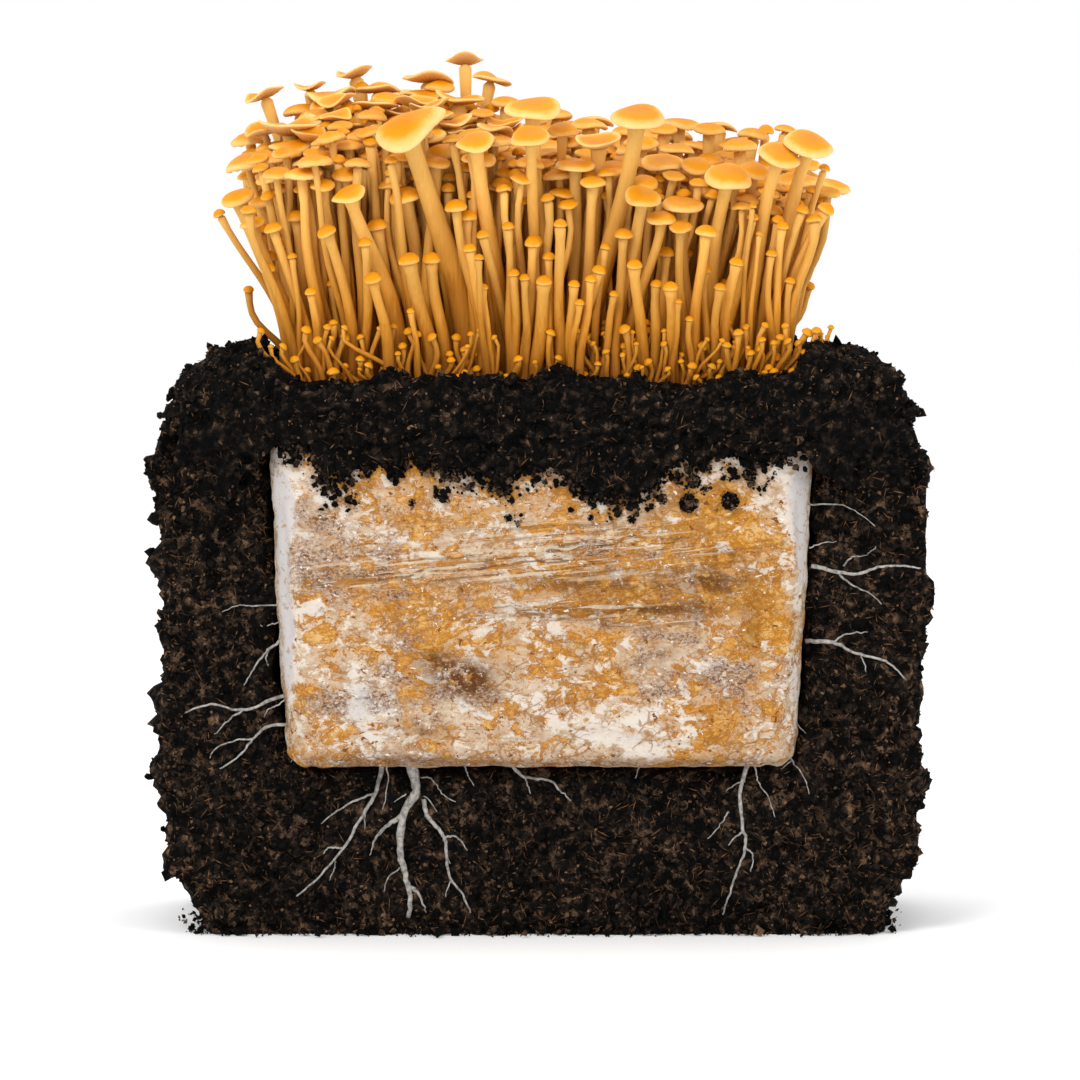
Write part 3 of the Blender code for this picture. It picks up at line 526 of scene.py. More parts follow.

# %% [markdown]
# ## The clumps
# Ninety-three mushrooms are placed clump by clump from the photo: how far across and deep the cap
# is, how high its rim stands above the block, how wide cap and stem are, and how far the cap tilts to
# the right and towards the viewer. The solids were made from the same list. Two mushrooms must not run
# through each other, so each is tried against those before it as a chain of spheres, and is moved back
# or forward until it is clear. Depth is the one direction that the picture doesn't show.

# %% The listed mushrooms, in millimetres and degrees
CLUMPS = [
    ((-84, -46), [(-98, -48, 59, 7.0, 3.2, -15, 8), (-106, -40, 61, 9.5, 4.2, -14, 14)]),
    ((-67, -52), [(-78, -60, 58, 7.4, 3.6, -26, 16), (-64, -62, 54, 5.4, 3.4, -8, 10)]),
    ((-50, -50), [(-70, -60, 72, 13.6, 5.0, -20, 24)]),
    ((-37, -54), [(-48, -66, 48, 7.8, 5.2, -12, 16), (-40, -61, 48, 6.8, 4.4, -3, 12)]),
    ((-27, -45), [(-49, -58, 95, 25.0, 7.0, -20, 32)]),
    ((-19, -55), [(-31, -57, 67, 8.6, 3.6, -6, 12), (-26, -62, 52, 5.0, 3.3, -6, 10)]),
    ((-12, -44), [(-24, -58, 91, 14.6, 5.4, -8, 30), (-21, -62, 57, 5.0, 3.3, -10, 10)]),
    ((-6, -56), [(-10, -62, 43, 4.6, 3.2, -4, 8), (1, -64, 40, 6.0, 4.6, 0, 10),
                 (-3, -62, 54, 6.2, 3.6, 0, 12)]),
    ((1, -44), [(-4, -60, 93, 14.6, 4.4, -4, 32), (-3, -44, 103, 20.6, 5.4, 0, 22)]),
    ((9, -56), [(7, -66, 61, 5.0, 3.9, 2, 10), (12, -62, 39, 4.4, 3.2, 6, 8)]),
    ((13, -43), [(35, -56, 100, 20.6, 6.2, 2, 22), (21, -61, 44, 5.4, 3.4, 14, 10)]),
    ((26, -50), [(37, -60, 71, 13.4, 4.6, 6, 38), (44, -56, 63, 11.0, 3.8, 4, 22)]),
    ((40, -55), [(34, -64, 46, 5.8, 3.9, 0, 12), (42, -60, 39, 4.6, 3.8, 4, 10)]),
    ((52, -55), [(47, -64, 38, 5.6, 4.4, -4, 12), (51, -60, 60, 9.0, 3.4, 2, 24),
                 (60, -62, 58, 8.0, 3.8, 8, 10)]),
    ((65, -55), [(71, -62, 47, 5.2, 3.6, 14, 10), (65, -66, 38, 4.4, 3.0, 10, 10)]),
    ((58, -42), [(68, -56, 78, 17.6, 5.2, 10, 32), (52, -50, 68, 15.6, 4.6, 6, 16)]),
    ((75, -49), [(87, -56, 86, 16.8, 5.2, 18, 30)]),
    ((86, -40), [(98, -50, 90, 19.6, 5.2, 15, 28), (104, -48, 66, 6.6, 3.6, 34, 8),
                 (104, -38, 81, 4.4, 2.6, 18, 6)]),
    ((-88, -26), [(-101, -34, 48, 8.0, 5.2, -8, 12), (-112, -30, 70, 12.4, 5.0, -20, 22)]),
    ((-88, -5), [(-119, -22, 64, 4.8, 2.6, -34, 6), (-103, -10, 68, 12.0, 4.4, -8, 6),
                 (-96, -6, 85, 14.2, 4.2, -12, 4)]),
    ((-74, -29), [(-82, -34, 82, 20.0, 4.8, 6, -10), (-80, -47, 75, 9.4, 4.2, -4, 22)]),
    ((-59, -33), [(-71, -44, 79, 11.4, 4.4, -6, 24), (-60, -48, 60, 8.0, 4.2, -12, 12)]),
    ((-44, -29), [(-50, -48, 71, 11.4, 5.4, -14, 28), (-55, -26, 82, 16.0, 4.6, 8, -12)]),
    ((-28, -25), [(-36, -32, 87, 12.4, 4.4, -10, 20), (-35, -6, 97, 17.0, 4.8, 0, 8)]),
    ((-10, -26), [(-12, -34, 79, 10.2, 4.2, 10, 22), (-17, -24, 95, 14.0, 4.4, 12, -4)]),
    ((11, -24), [(8, -32, 95, 11.4, 3.8, 4, 20), (21, -40, 90, 17.0, 4.8, -2, 16),
                 (12, -34, 82, 14.6, 4.2, 0, 16)]),
    ((34, -32), [(38, -42, 76, 10.4, 4.0, 6, 26), (45, -32, 83, 16.0, 4.6, 4, 22)]),
    ((53, -23), [(57, -36, 82, 11.8, 4.4, 6, 28), (50, -12, 88, 13.6, 4.4, 2, 10)]),
    ((73, -28), [(78, -38, 80, 12.4, 4.4, 10, 24), (74, -10, 89, 12.8, 4.4, 0, 10)]),
    ((-86, 16), [(-106, 12, 74, 11.0, 4.2, -18, 4), (-100, 20, 85, 15.0, 4.6, -10, 0)]),
    ((-72, -6), [(-94, 2, 95, 22.6, 5.0, -4, 4), (-77, -14, 89, 17.6, 4.6, -2, 12)]),
    ((-80, 40), [(-105, 40, 108, 15.2, 4.2, -20, 0), (-88, 46, 111, 13.0, 4.0, -8, 0)]),
    ((-67, 24), [(-86, 24, 100, 12.4, 4.2, -10, 6), (-80, 34, 104, 15.0, 4.6, -4, 4)]),
    ((-56, 4), [(-70, 6, 96, 19.6, 5.0, -2, 4)]),
    ((-58, 42), [(-71, 50, 116, 15.0, 4.6, -14, -6), (-62, 36, 110, 17.0, 4.8, -2, 2)]),
    ((-46, 21), [(-62, 18, 104, 16.0, 4.6, 0, 4), (-47, 16, 105, 15.0, 4.6, 2, 6)]),
    ((-36, 42), [(-43, 44, 114, 20.0, 5.0, 2, -2)]),
    ((-26, 14), [(-31, 24, 106, 17.0, 4.8, 6, 4)]),
    ((-16, 42), [(-29, 54, 121, 14.0, 4.6, 0, -8), (-19, 36, 114, 14.4, 4.6, 16, 4)]),
    ((-6, 10), [(-13, 22, 105, 12.0, 4.2, 4, 4), (-14, 4, 97, 14.0, 4.6, 0, 10)]),
    ((14, 6), [(18, 6, 97, 14.0, 4.6, 4, 6), (6, 18, 100, 12.0, 4.4, -2, -4)]),
    ((32, -4), [(37, -14, 90, 12.8, 4.4, 2, 12), (32, 8, 94, 12.0, 4.4, 2, 0)]),
    ((44, 24), [(52, 24, 97, 15.6, 4.6, 4, 2), (46, 8, 95, 10.6, 4.2, 0, 8)]),
    ((62, 40), [(68, 40, 96, 14.0, 4.6, 6, -6), (52, 46, 92, 12.0, 4.4, 0, -14)]),
    ((75, 12), [(80, 22, 93, 12.6, 4.4, 8, 2), (92, 14, 95, 9.0, 3.8, 14, 2)]),
    ((14, 40), [(20, 42, 98, 15.0, 4.6, 4, -8), (2, 46, 102, 13.6, 4.4, -4, -10)]),
    ((85, 38), [(93, 44, 88, 12.0, 4.4, 16, -12), (82, 48, 76, 9.0, 4.0, 4, -20)]),
]
print("clumps:", len(CLUMPS), "mushrooms placed by hand:", sum(len(rows) for _, rows in CLUMPS))

# %% Keep the mushrooms clear of each other
DEPTH_TRIES = [0, 2, -2, 4, -4, 6, -6, 8, -8, 10, -10, 12, -12, 15, 18, -15]
CLEARANCE = 0.5 * MM
FOOT_OVERLAP = 0.72  # of the distance at which two feet of a clump would only touch


def clash(one, other, same_clump):
    """Whether two mushrooms touch. Stems of one clump are joined at the foot, so feet don't count there."""
    if same_clump:
        one = one[one[:, 4] == 0]
        other = other[other[:, 4] == 0]
    apart = np.linalg.norm(one[:, None, :3] - other[None, :, :3], axis=2)
    return bool((apart < one[:, None, 3] + other[None, :, 3] + CLEARANCE).any())


def stands(foot, rows):
    """Where each stem of a clump stands: in a row from left to right, each grown into the next."""
    order = sorted(range(len(rows)), key=lambda index: rows[index][0])
    across = [0.0]
    for left, right in zip(order, order[1:]):
        across.append(across[-1] + FOOT_OVERLAP * STEM_FOOT_SWELL * (rows[left][4] + rows[right][4]) / 2)
    middle = across[-1] / 2
    return {
        index: Vector(((foot[0] + x - middle) * MM, foot[1] * MM, BLOCK_TOP + GAP))
        for index, x in zip(order, across)
    }


placed = []
clumps = []
for number, (foot, rows) in enumerate(CLUMPS):
    stand = stands(foot, rows)
    members = []
    for index, row in enumerate(rows):
        for shift in DEPTH_TRIES:
            mushroom = Mushroom(stand[index], (row[0], row[1] + shift, *row[2:]))
            body = mushroom.body()
            if not any(clash(body, b, n == number) for n, b in placed):
                break
        placed.append((number, body))
        members.append(mushroom)
    clumps.append(members)
print("mushrooms with a place of their own:", len(placed))

# %% [markdown]
# How old a cap looks follows from its width: narrow ones are buttons, wide ones plates. The old ones at
# the back on the left are wavy, with turned-up rims. Wide caps get more sides, so their gills are fine.

# %% Grow the clumps
# The looks of young caps. Each: the width in mm that it ends at, then shape, waviness, the cap's sides,
# and the stem's sides and rings.
YOUNG_LOOKS = [(7, (-1.0, 0.02, 18, 10, 14)), (9, (-0.75, 0.03, 24, 10, 14)), (13, (-0.3, 0.05, 36, 10, 14))]
OLD_RISE = 92 * MM
OLD_FRONT = -30 * MM


def cap_look(mushroom):
    """(shape, waviness, cap sides, stem sides, stem rings) for a cap of that width in that place."""
    for limit, look in YOUNG_LOOKS:
        if 2 * mushroom.cap / MM < limit:
            return look
    tip = mushroom.tip
    if tip.x < 0 and tip.z > BLOCK_TOP + OLD_RISE and tip.y > OLD_FRONT:
        return rng.uniform(0.2, 1.0), 0.14, 52, 10, 12
    return rng.uniform(-0.2, 0.15), 0.07, 56, 14, 18


# Two caps in front don't follow the rule, by clump and place in it: one is drawn out to a lobe on its
# right, and an old one has turned up into a funnel.
LOBED = {(5, 0): 0.42}
FUNNEL = {(26, 1): 0.85}

for number, members in enumerate(clumps, 1):
    pile = Pile("share", "tint")
    for index, member in enumerate(members):
        shape, *look = cap_look(member)
        shape = FUNNEL.get((number, index), shape)
        grow(pile, member, shape, *look, lobe=LOBED.get((number, index), 0.0))
    node = f"enoki_clump_{number:02d}"
    pile.become(node + "_fine", MUSHROOM_FINISH, "enoki", [node])
print("clumps grown:", len(clumps))

# %% [markdown]
# ## Smaller ones, also from the photo
# Between the clumps stand smaller mushrooms that the photo shows just as clearly: young ones in front,
# and old wavy caps at the back on the left. They are listed the same way, with the foot of each as a
# step from its cap, across and back. Where one would touch a neighbour it too moves in depth.

# %% Grow the smaller ones
# Each row: across, depth, height, cap width, stem width, tilt right, tilt forward, foot's step.
SMALLER = [
    (-82, 10, 100, 13.5, 4.0, -8, 4, 8, -2), (-63, -4, 100, 11.7, 4.0, 4, 6, 5, 0),
    (-62, -14, 90, 9.8, 3.6, 0, 8, 6, 2), (-96, -10, 85, 14.2, 4.2, -12, 4, 8, -3),
    (-67, -22, 82, 12.8, 4.2, -4, 8, 6, 2), (-88, -22, 76, 13.5, 4.0, -8, 6, 5, 2),
    (-98, -26, 73, 10.5, 3.8, -10, 8, 9, 0), (-98, -16, 69, 11.0, 3.8, -14, 6, 8, 4),
    (-92, 36, 102, 12.5, 3.8, -10, -2, 9, -4), (-22, 2, 101, 9.8, 3.8, 2, 4, 1, 2),
    (-28, -40, 81, 6.2, 3.0, 6, 8, 1, 2), (-14, -46, 75, 8.0, 3.4, 8, 12, -2, 0),
    (-55, -40, 75, 9.1, 3.4, -4, 10, 3, 2), (-34, -46, 73.5, 5.5, 2.8, 2, 8, 2, 2),
    (-25, -52, 71, 5.1, 2.8, 4, 8, 3, 0), (-91, -50, 49, 3.6, 2.2, -6, 6, 3, 0),
    (-27, -58, 63.5, 7.3, 3.2, 4, 10, 5, 2), (-21, -62, 38, 3.6, 2.4, 2, 8, 4, 4),
    (-61, -60, 41, 6.6, 3.6, -14, 12, 6, 6), (-22.5, -63, 49, 3.6, 2.4, 4, 8, 3, 5),
    (-47.5, -64, 29.5, 2.9, 2.0, -8, 8, 3, 5), (-46, -62, 33, 2.9, 2.0, 6, 8, 1, 4),
    (12.5, -34, 82, 14.6, 4.2, 0, 12, -1, 4), (19, -44, 76, 10.2, 3.8, 2, 12, -4, 2),
    (27, -38, 81, 12.4, 4.0, 4, 10, -4, 2), (41, -48, 73, 8.0, 3.4, 6, 10, -5, 0),
    (63, 4, 95, 12.4, 4.0, 4, 6, -3, 2), (85, 20, 94.5, 6.2, 3.0, 8, 0, -4, 2),
    (96, -42, 84, 4.4, 2.6, 14, 6, -12, 2), (95, -34, 79, 4.6, 2.6, 14, 6, -10, 2),
    (99.5, -38, 73, 4.7, 2.6, 16, 6, -13, 0), (77, -58, 67.5, 3.1, 1.8, 6, 6, -4, 3),
    (79.5, -58, 57.5, 2.4, 1.6, 8, 6, -3, 2), (-2.6, -62, 54.5, 6.2, 3.6, 0, 12, 1, 5),
    (2.8, -59, 49, 4.7, 2.8, 2, 10, 1, 2), (-6, -64, 41.5, 4.0, 2.8, -4, 10, 0, 6),
    (18, -62, 41, 4.2, 2.8, 4, 10, -4, 4), (23.5, -56, 52.5, 4.0, 2.6, 6, 8, -5, 2),
    (14, -64, 32.5, 3.6, 2.4, 6, 8, -4, 6), (26.5, -62, 35.5, 3.5, 2.4, 8, 8, -4, 4),
    (50, -64, 33, 2.6, 1.8, 4, 8, -2, 5), (54, -62, 26.5, 3.3, 2.2, 4, 8, 1, 4),
    (-104, -28, 58, 6.5, 3.4, -12, 8, 10, 3), (-100, -40, 44, 6.0, 3.2, -8, 8, 8, 2),
    (-95, -44, 53, 6.4, 3.4, -8, 8, 6, 0), (-90, -38, 63, 7.6, 3.6, -6, 8, 5, 2),
    (60, -58, 44, 5.0, 2.8, 4, 10, 1, 2), (84, -56, 50, 4.2, 2.6, 8, 8, 1, 2),
    (91, -52, 40, 4.0, 2.6, 8, 8, -2, 2), (88, -54, 60, 4.8, 2.8, 6, 8, -3, 2),
    (-12, -60, 60, 4.6, 2.8, -2, 8, 1, 4), (46, -46, 50, 6.0, 3.2, 4, 10, -2, 0),
    (30, -50, 57, 7.0, 3.4, 4, 12, -3, 0), (-84, -56, 36, 4.6, 2.8, -8, 8, 3, 3),
]
BED_FRONT, BED_BACK = -59, 49
SMALLER_SIDES = 40
SEARCH = 6 * MM
everything = np.concatenate([body for _, body in placed])


def has_room(body, clearance=0.0):
    """Whether a mushroom is clear of all that stand so far. Feet may stand close."""
    test = body[body[:, 4] == 0]
    low, high = test[:, :3].min(axis=0) - SEARCH, test[:, :3].max(axis=0) + SEARCH
    near = everything[((everything[:, :3] > low) & (everything[:, :3] < high)).all(axis=1)]
    apart = np.linalg.norm(test[:, None, :3] - near[None, :, :3], axis=2)
    return not (apart < test[:, None, 3] + near[None, :, 3] + clearance).any()


smaller = Pile("share", "tint")
for row in SMALLER:
    for shift in DEPTH_TRIES:
        across, depth = row[0], row[1] + shift
        foot = Vector((across + row[7], min(max(depth + row[8], BED_FRONT), BED_BACK), 0)) * MM
        foot.z = BLOCK_TOP + GAP
        mushroom = Mushroom(foot, (across, depth, *row[2:7]))
        body = mushroom.body()
        if has_room(body):
            break
    else:
        continue
    everything = np.concatenate([everything, body])
    shape, wave, sides, stem_sides, stem_steps = cap_look(mushroom)
    grow(smaller, mushroom, shape, wave, min(sides, SMALLER_SIDES), stem_sides, stem_steps)
smaller.become("enoki_smaller", MUSHROOM_FINISH, "enoki")
print("placed and smaller ones:", len(everything) // len(body))

# %% [markdown]
# ## The crowd between them
# A block carries several hundred mushrooms, far more than the placed ones. The rest are seeded in two
# rounds, with feet on a jittered grid over the bare top of the block. The first round stands far apart
# and gets the wide caps that roof the crowd over, widest and waviest at the back on the left. The second
# fills in between with thin stems. Every one is tried for room as before, and one that finds none after
# some tries, each narrower than the last, doesn't grow.

# %% Where the crowd stands, and how a seeded mushroom looks
# The skyline of the caps: across, and height above the block, in millimetres.
SKYLINE = np.array([
    (-108, 100), (-75, 114), (-40, 115), (-22, 112), (-10, 104), (30, 99), (65, 95), (104, 84),
])
FRONT_ROWS = -38
HOLLOW_SIDES, HOLLOW_BACK = (6, 60), -41
LEAN = 0.09
CAP_TO_STEM = 1.6


def in_front_hollow(x, y):
    """Whether a foot is in the hollow at the front on the right, where only pins stand."""
    return HOLLOW_SIDES[0] < x < HOLLOW_SIDES[1] and y < HOLLOW_BACK


def crowd_row(x, y, attempt, tries, roof):
    """A seeded mushroom that stands at x and y. Later attempts are narrower, and the last ones shorter."""
    back = (y + 60) / 110
    lean = LEAN * x + rng.normal(0, 5)
    top = np.interp(x + lean, *SKYLINE.T) * (0.79 + 0.2 * back)
    late = attempt / tries
    if roof:
        height = top * rng.uniform(0.88, 1.0)
        widest = rng.uniform(15, 23) if x < 0 and back > 0.35 else rng.uniform(10, 17)
    else:
        height = top * rng.uniform(0.8 if late < 0.6 or y < FRONT_ROWS else 0.4, 0.97)
        widest = rng.uniform(6, 11)
    slimmest, stoutest = (2.6, 4.8) if y < FRONT_ROWS else (2.2, 4.0) if roof else (1.7, 3.8)
    stem = rng.uniform(slimmest, stoutest) * (0.7 + 0.3 * height / 100)
    cap = stem * CAP_TO_STEM + max(0.0, widest - stem * CAP_TO_STEM) * max(0.0, 1 - 1.3 * late)
    depth = y - rng.uniform(-3, 6)
    right, forward = 0.1 * x + rng.uniform(-12, 12), rng.uniform(-2, 18)
    return x + lean, depth, height, cap, stem, right, forward


# %% Seed the crowd
# Each round: whether it makes the roof, its spacing in mm, and how often a mushroom is tried.
ROUNDS = ((True, 9.5, 24), (False, 5.0, 14))
BED_SIDES, BED_DEPTH = (-92, 89), (-47, 50)
WIDE = 9.5
crowd_piles = {side: Pile("share", "tint") for side in ("left", "right")}
crowd_count = 0


def crowd_detail(x, y, wide):
    """Sides of the cap and of the stem, and the stem's rings: fewer deep inside, where little shows."""
    inside = abs(x) < 76 and -32 < y < 34
    return 22 if wide else 12, 5 if inside else 7, 6 if inside else 10


for roof, spacing, tries in ROUNDS:
    grid = itertools.product(np.arange(*BED_DEPTH, 0.87 * spacing), np.arange(*BED_SIDES, spacing))
    for depth, across in grid:
        x, y = across + rng.uniform(-0.4, 0.4) * spacing, depth + rng.uniform(-0.4, 0.4) * spacing
        if in_front_hollow(x, y):
            continue
        for attempt in range(tries):
            row = crowd_row(x, y, attempt, tries, roof)
            mushroom = Mushroom((x * MM, y * MM, BLOCK_TOP + GAP), row)
            body = mushroom.body()
            if has_room(body):
                break
        else:
            continue
        everything = np.concatenate([everything, body])
        crowd_count += 1
        wide = row[3] > WIDE
        shape, wave = cap_look(mushroom)[:2] if wide else (-1 + min(1.0, max(0.0, (row[3] - 5) / 5)), 0.06)
        pile = crowd_piles["right" if x > 0 else "left"]
        grow(pile, mushroom, shape, wave, *crowd_detail(x, y, wide), rng.uniform(0.5, 2.0) * MM)
for side, pile in crowd_piles.items():
    made = pile.become(f"enoki_crowd_{side}", MUSHROOM_FINISH, "enoki")
    print(made.name, "faces:", len(made.data.polygons))
print("crowd:", crowd_count)

# %% [markdown]
# ## Pins
# A pin is an enoki a few days old: a bead on a thread, standing where there is light at the front of the
# block. They fill the front edge of the bed, leaning every way.

# %% Seed the pins
PIN_TRIES, PIN_LIMIT = 2600, 200
PIN_ROW = -59.5
PIN_REACH = 94
PIN_OVERLAP = 0.3 * MM
pins = Pile("share", "tint")
pin_count = 0
for _ in range(PIN_TRIES):
    x = rng.choice((rng.uniform(-94, 92), rng.normal(34, 16), rng.normal(34, 16), rng.uniform(50, 92)))
    y = PIN_ROW + (rng.uniform(0, 15) if HOLLOW_SIDES[0] < x < HOLLOW_SIDES[1] else abs(rng.normal(0, 3)))
    height, stem = 5 + 20 * rng.random() ** 1.5, rng.uniform(1.2, 2.3)
    across, depth = x + rng.normal(0, 0.35 * height), y - rng.uniform(-1, 4)
    cap = stem * rng.uniform(1.6, 2.1)
    row = (across, depth, height, cap, stem, rng.normal(0, 30), rng.uniform(0, 30))
    mushroom = Mushroom((x * MM, y * MM, BLOCK_TOP + GAP), row)
    body = mushroom.body()
    if pin_count >= PIN_LIMIT or abs(x) > PIN_REACH or not has_room(body, -PIN_OVERLAP):
        continue
    everything = np.concatenate([everything, body])
    pin_count += 1
    grow(pins, mushroom, -1.0, 0.02, 10, 6, 7)
pins.become("enoki_pins", MUSHROOM_FINISH, "enoki")
print("pins:", pin_count)

# %% [markdown]
# ## Finish of the soil
# Potting soil is composted bark and peat: crumbs from dust to pea size, nearly black when damp, with
# paler splinters of wood. A dark colour alone reads as a hole, so the colour changes from crumb to
# crumb. A cell texture does that: each cell is one crumb, with its own shade, and raised in its middle.
# A fine noise both raises the surface and lightens it where it stands high, so its small hollows are
# painted darker: painted shade.

# %% Potting soil
# Potting soil: damp but rough, with no gloss. It gives the eye near black, broken by brown crumbs.
CELL_SIZE, LUMP_SIZE, FINE_RELIEF_SIZE = 1.7 * MM, 7 * MM, 0.6 * MM

soil, tree, shader = new_material("damp_potting_soil", Roughness=0.95, IOR=1.45, Specular_IOR_Level=0.1)
place, shade = readings(tree, "shade")
cells = add_node(tree, "ShaderNodeTexVoronoi", {"Vector": place, "Scale": 1 / CELL_SIZE})
own = add_node(tree, "ShaderNodeSeparateColor", {"Color": cells.outputs["Color"]}).outputs[0]
lumpy, fine_relief = (
    add_node(
        tree, "ShaderNodeTexNoise", {"Vector": place, "Scale": 1 / size, "Detail": detail, "Roughness": 0.7}
    ).outputs["Fac"]
    for size, detail in ((LUMP_SIZE, 6.0), (FINE_RELIEF_SIZE, 3.0))
)
# The fine relief noise lightens the colour where it stands high: painted shade in the small hollows.
mixed = lifted(tree, shade, (own, 0.34), (lumpy, 0.5), (fine_relief, 0.4))
ramp = add_node(tree, "ShaderNodeValToRGB", {"Fac": mask(tree, (mixed, 0.6, 1.25))})
stops = ramp.color_ramp.elements
stops[0].color, stops[-1].color = linear("#030303"), linear("#86684E")
for spot, hex_colour in ((0.35, "#100D0B"), (0.6, "#2C221B"), (0.82, "#5C4737")):
    stops.new(spot).color = linear(hex_colour)
raised = lifted(tree, fine_relief, (cells.outputs["Distance"], -1.0))
coat(tree, shader, ramp.outputs["Color"], (raised, 1.0, 0.9 * MM))

# %% Wood fibre
# Composted bark fibre: torn splinters, dry and matt. It gives the eye small light brown dashes.
fibre, tree, shader = new_material("composted_bark_fibre", Roughness=0.9, Specular_IOR_Level=0.2)
shade = add_node(tree, "ShaderNodeAttribute", attribute_name="shade").outputs["Fac"]
coat(tree, shader, layered(tree, linear("#2A1C13"), (linear("#7A5638"), shade)))

# %% [markdown]
# ## Strand routes
# The soil's crumbs leave the mycelium strands in view, so the strands' routes come before the crumbs.
# They are read off the photo, in millimetres across and up, with each strand's width where it leaves
# the block. In each list the first line is the strand and the rest are its forks.

# %% Strand routes, in millimetres
STRANDS = {
    "strand_left_upper": (1.6, [
        [(-94, 110), (-100, 105), (-105, 99), (-109, 92)],
        [(-100, 105), (-101, 102), (-100, 99)],
    ]),
    "strand_left_middle": (2.0, [
        [(-90, 89), (-99, 87), (-110, 83), (-121, 85), (-131, 82)],
        [(-109, 83.5), (-115, 79), (-120, 74)],
    ]),
    "strand_left_lower": (1.8, [
        [(-89, 78), (-100, 77), (-106, 72), (-111, 66), (-118, 61)],
        [(-106, 72), (-111, 72), (-119, 69), (-122, 65)],
    ]),
    "strand_under_left": (2.2, [
        [(-58, 64), (-61, 52), (-65, 45), (-72, 33), (-81, 22), (-90, 14)],
        [(-61, 52), (-69, 49), (-76, 45), (-81, 41)],
        [(-73, 32), (-78, 32), (-80, 30)],
    ]),
    "strand_trunk": (5.0, [
        [(-48, 64), (-46, 53), (-50, 46), (-52, 33), (-50, 22), (-48, 13), (-49, 6)],
        [(-51, 44), (-57, 40), (-61, 35), (-63, 29)],
        [(-49, 18), (-45, 15), (-42, 8)],
    ]),
    "strand_trunk_fork": (2.4, [
        [(-43.2, 50), (-42, 44), (-37, 38), (-35, 33), (-34, 22), (-29, 15), (-26, 8)],
        [(-36, 36), (-31, 36), (-27, 31)],
    ]),
    "strand_under_middle": (1.8, [
        [(-12, 64), (-6, 58), (3, 57), (7, 53), (11, 49)],
        [(-6, 58), (-4, 52)],
    ]),
    "strand_under_right": (2.0, [
        [(76, 64), (73, 52), (74, 41), (75, 32), (72, 23), (69, 14), (67, 7)],
        [(75, 32), (78, 29), (77, 23)],
        [(74, 38), (71, 36), (69, 33)],
    ]),
    "strand_right_upper": (2.0, [
        [(99, 136), (108, 134), (116, 133), (125, 136), (134, 136), (139, 135)],
        [(108, 134), (114, 129), (120, 126), (125, 122)],
    ]),
    "strand_right_lower": (2.0, [
        [(97, 108), (107, 108), (114, 104.5), (123, 102), (128, 100), (134, 94)],
        [(107, 108), (112, 111), (120, 111.5)],
    ]),
}
FINE_THREADS = [
    [(-95, 121.7), (-106, 121.3), (-111.5, 121.3), (-117, 119)],
    [(-95, 115.8), (-100, 114), (-103, 114)],
    [(-93, 88.2), (-96.5, 84.9), (-100, 83.4), (-101.6, 80.5)],
    [(-88, 74), (-89.3, 69.9), (-91.8, 63.4)],
    [(-64.8, 44.8), (-64.8, 39)],
    [(-75.8, 27), (-76.1, 23.7), (-78, 19.7)],
    [(-56.5, 63), (-56.5, 55.4), (-58.3, 46.3)],
    [(-35.3, 30.6), (-33.5, 26.2)],
    [(-33.5, 19.7), (-35.3, 13.8)],
    [(-51.4, 24.8), (-56.5, 20.4), (-57.9, 15.7)],
    [(-44.8, 57.6), (-40.4, 57.6), (-36.4, 52.1), (-31.7, 49.2)],
    [(-44.8, 52.1), (-41.2, 49.5), (-38.3, 45.2)],
    [(-49.5, 52.1), (-53.9, 49.2)],
    [(-28.1, 63), (-27, 59), (-24.8, 55)],
    [(75, 56.8), (70.7, 55), (67.8, 52.5)],
    [(68.9, 45.5), (65.9, 40.8), (61.2, 35.3)],
    [(36.4, 63), (34.6, 57.6)],
    [(78.3, 63), (80.1, 55.7), (83.4, 51), (86, 43.7)],
    [(88, 70), (93.3, 62.7), (96.9, 57.6), (98.4, 52.1)],
    [(92, 64.1), (88.2, 60.8)],
    [(92, 80), (97.3, 74.3)],
    [(98, 158.5), (108.2, 158.5), (114.8, 156.3), (122.4, 150.5)],
    [(98, 142.8), (102.4, 144.3), (108.2, 145)],
    [(110.7, 135.9), (114, 139.2), (119.1, 139.9), (122.8, 142.8)],
    [(117.3, 103.1), (119.5, 96.9)],
]


def distance_to(across, up, line):
    """How far points of the face are from a line of straight stretches, in millimetres."""
    nearest = np.full(len(across), 1e9)
    for (x0, z0), (x1, z1) in zip(line, line[1:]):
        run = np.array([x1 - x0, z1 - z0])
        share = np.clip(((across - x0) * run[0] + (up - z0) * run[1]) / (run @ run), 0, 1)
        nearest = np.minimum(nearest, np.hypot(across - x0 - share * run[0], up - z0 - share * run[1]))
    return nearest


# %% [markdown]
# ## Surface of the soil
# The solid of the soil is a plain lump. A voxel remesh gives a copy of it small even faces, and each
# point then moves along its normal by noise at three sizes: clods, pea-sized lumps and crumbs. Noise
# moved geometry, unlike a bump, also breaks up the outline. The foot stays flat, where the soil rests.

# %% Even out a solid and move its points
def lumps(points, size, seed=0.0):
    """Smooth noise at each point, from about -1 to 1, with lumps of that size."""
    shift = Vector((7.3, 3.1, 5.7)) * seed
    return np.array([noise.noise(Vector(p) / size + shift) for p in points]) * 1.6


def remeshed(node, voxel):
    """Points, quads and normals of a copy of a node with even faces of about that size."""
    draft = bpy.data.objects.new("draft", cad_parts[node].data.copy())
    bpy.context.scene.collection.objects.link(draft)
    step = draft.modifiers.new("even_faces", "REMESH")
    step.mode, step.voxel_size = "VOXEL", voxel
    bpy.context.view_layer.update()
    mesh = bpy.data.meshes.new_from_object(draft.evaluated_get(bpy.context.evaluated_depsgraph_get()))
    bpy.data.objects.remove(draft, do_unlink=True)
    points = np.empty(len(mesh.vertices) * 3, np.float32)
    mesh.vertices.foreach_get("co", points)
    normals = np.empty(len(mesh.vertices) * 3, np.float32)
    mesh.vertex_normals.foreach_get("vector", normals)
    faces = [tuple(face.vertices) for face in mesh.polygons]
    bpy.data.meshes.remove(mesh)
    return points.reshape(-1, 3).astype(float), faces, normals.reshape(-1, 3).astype(float)


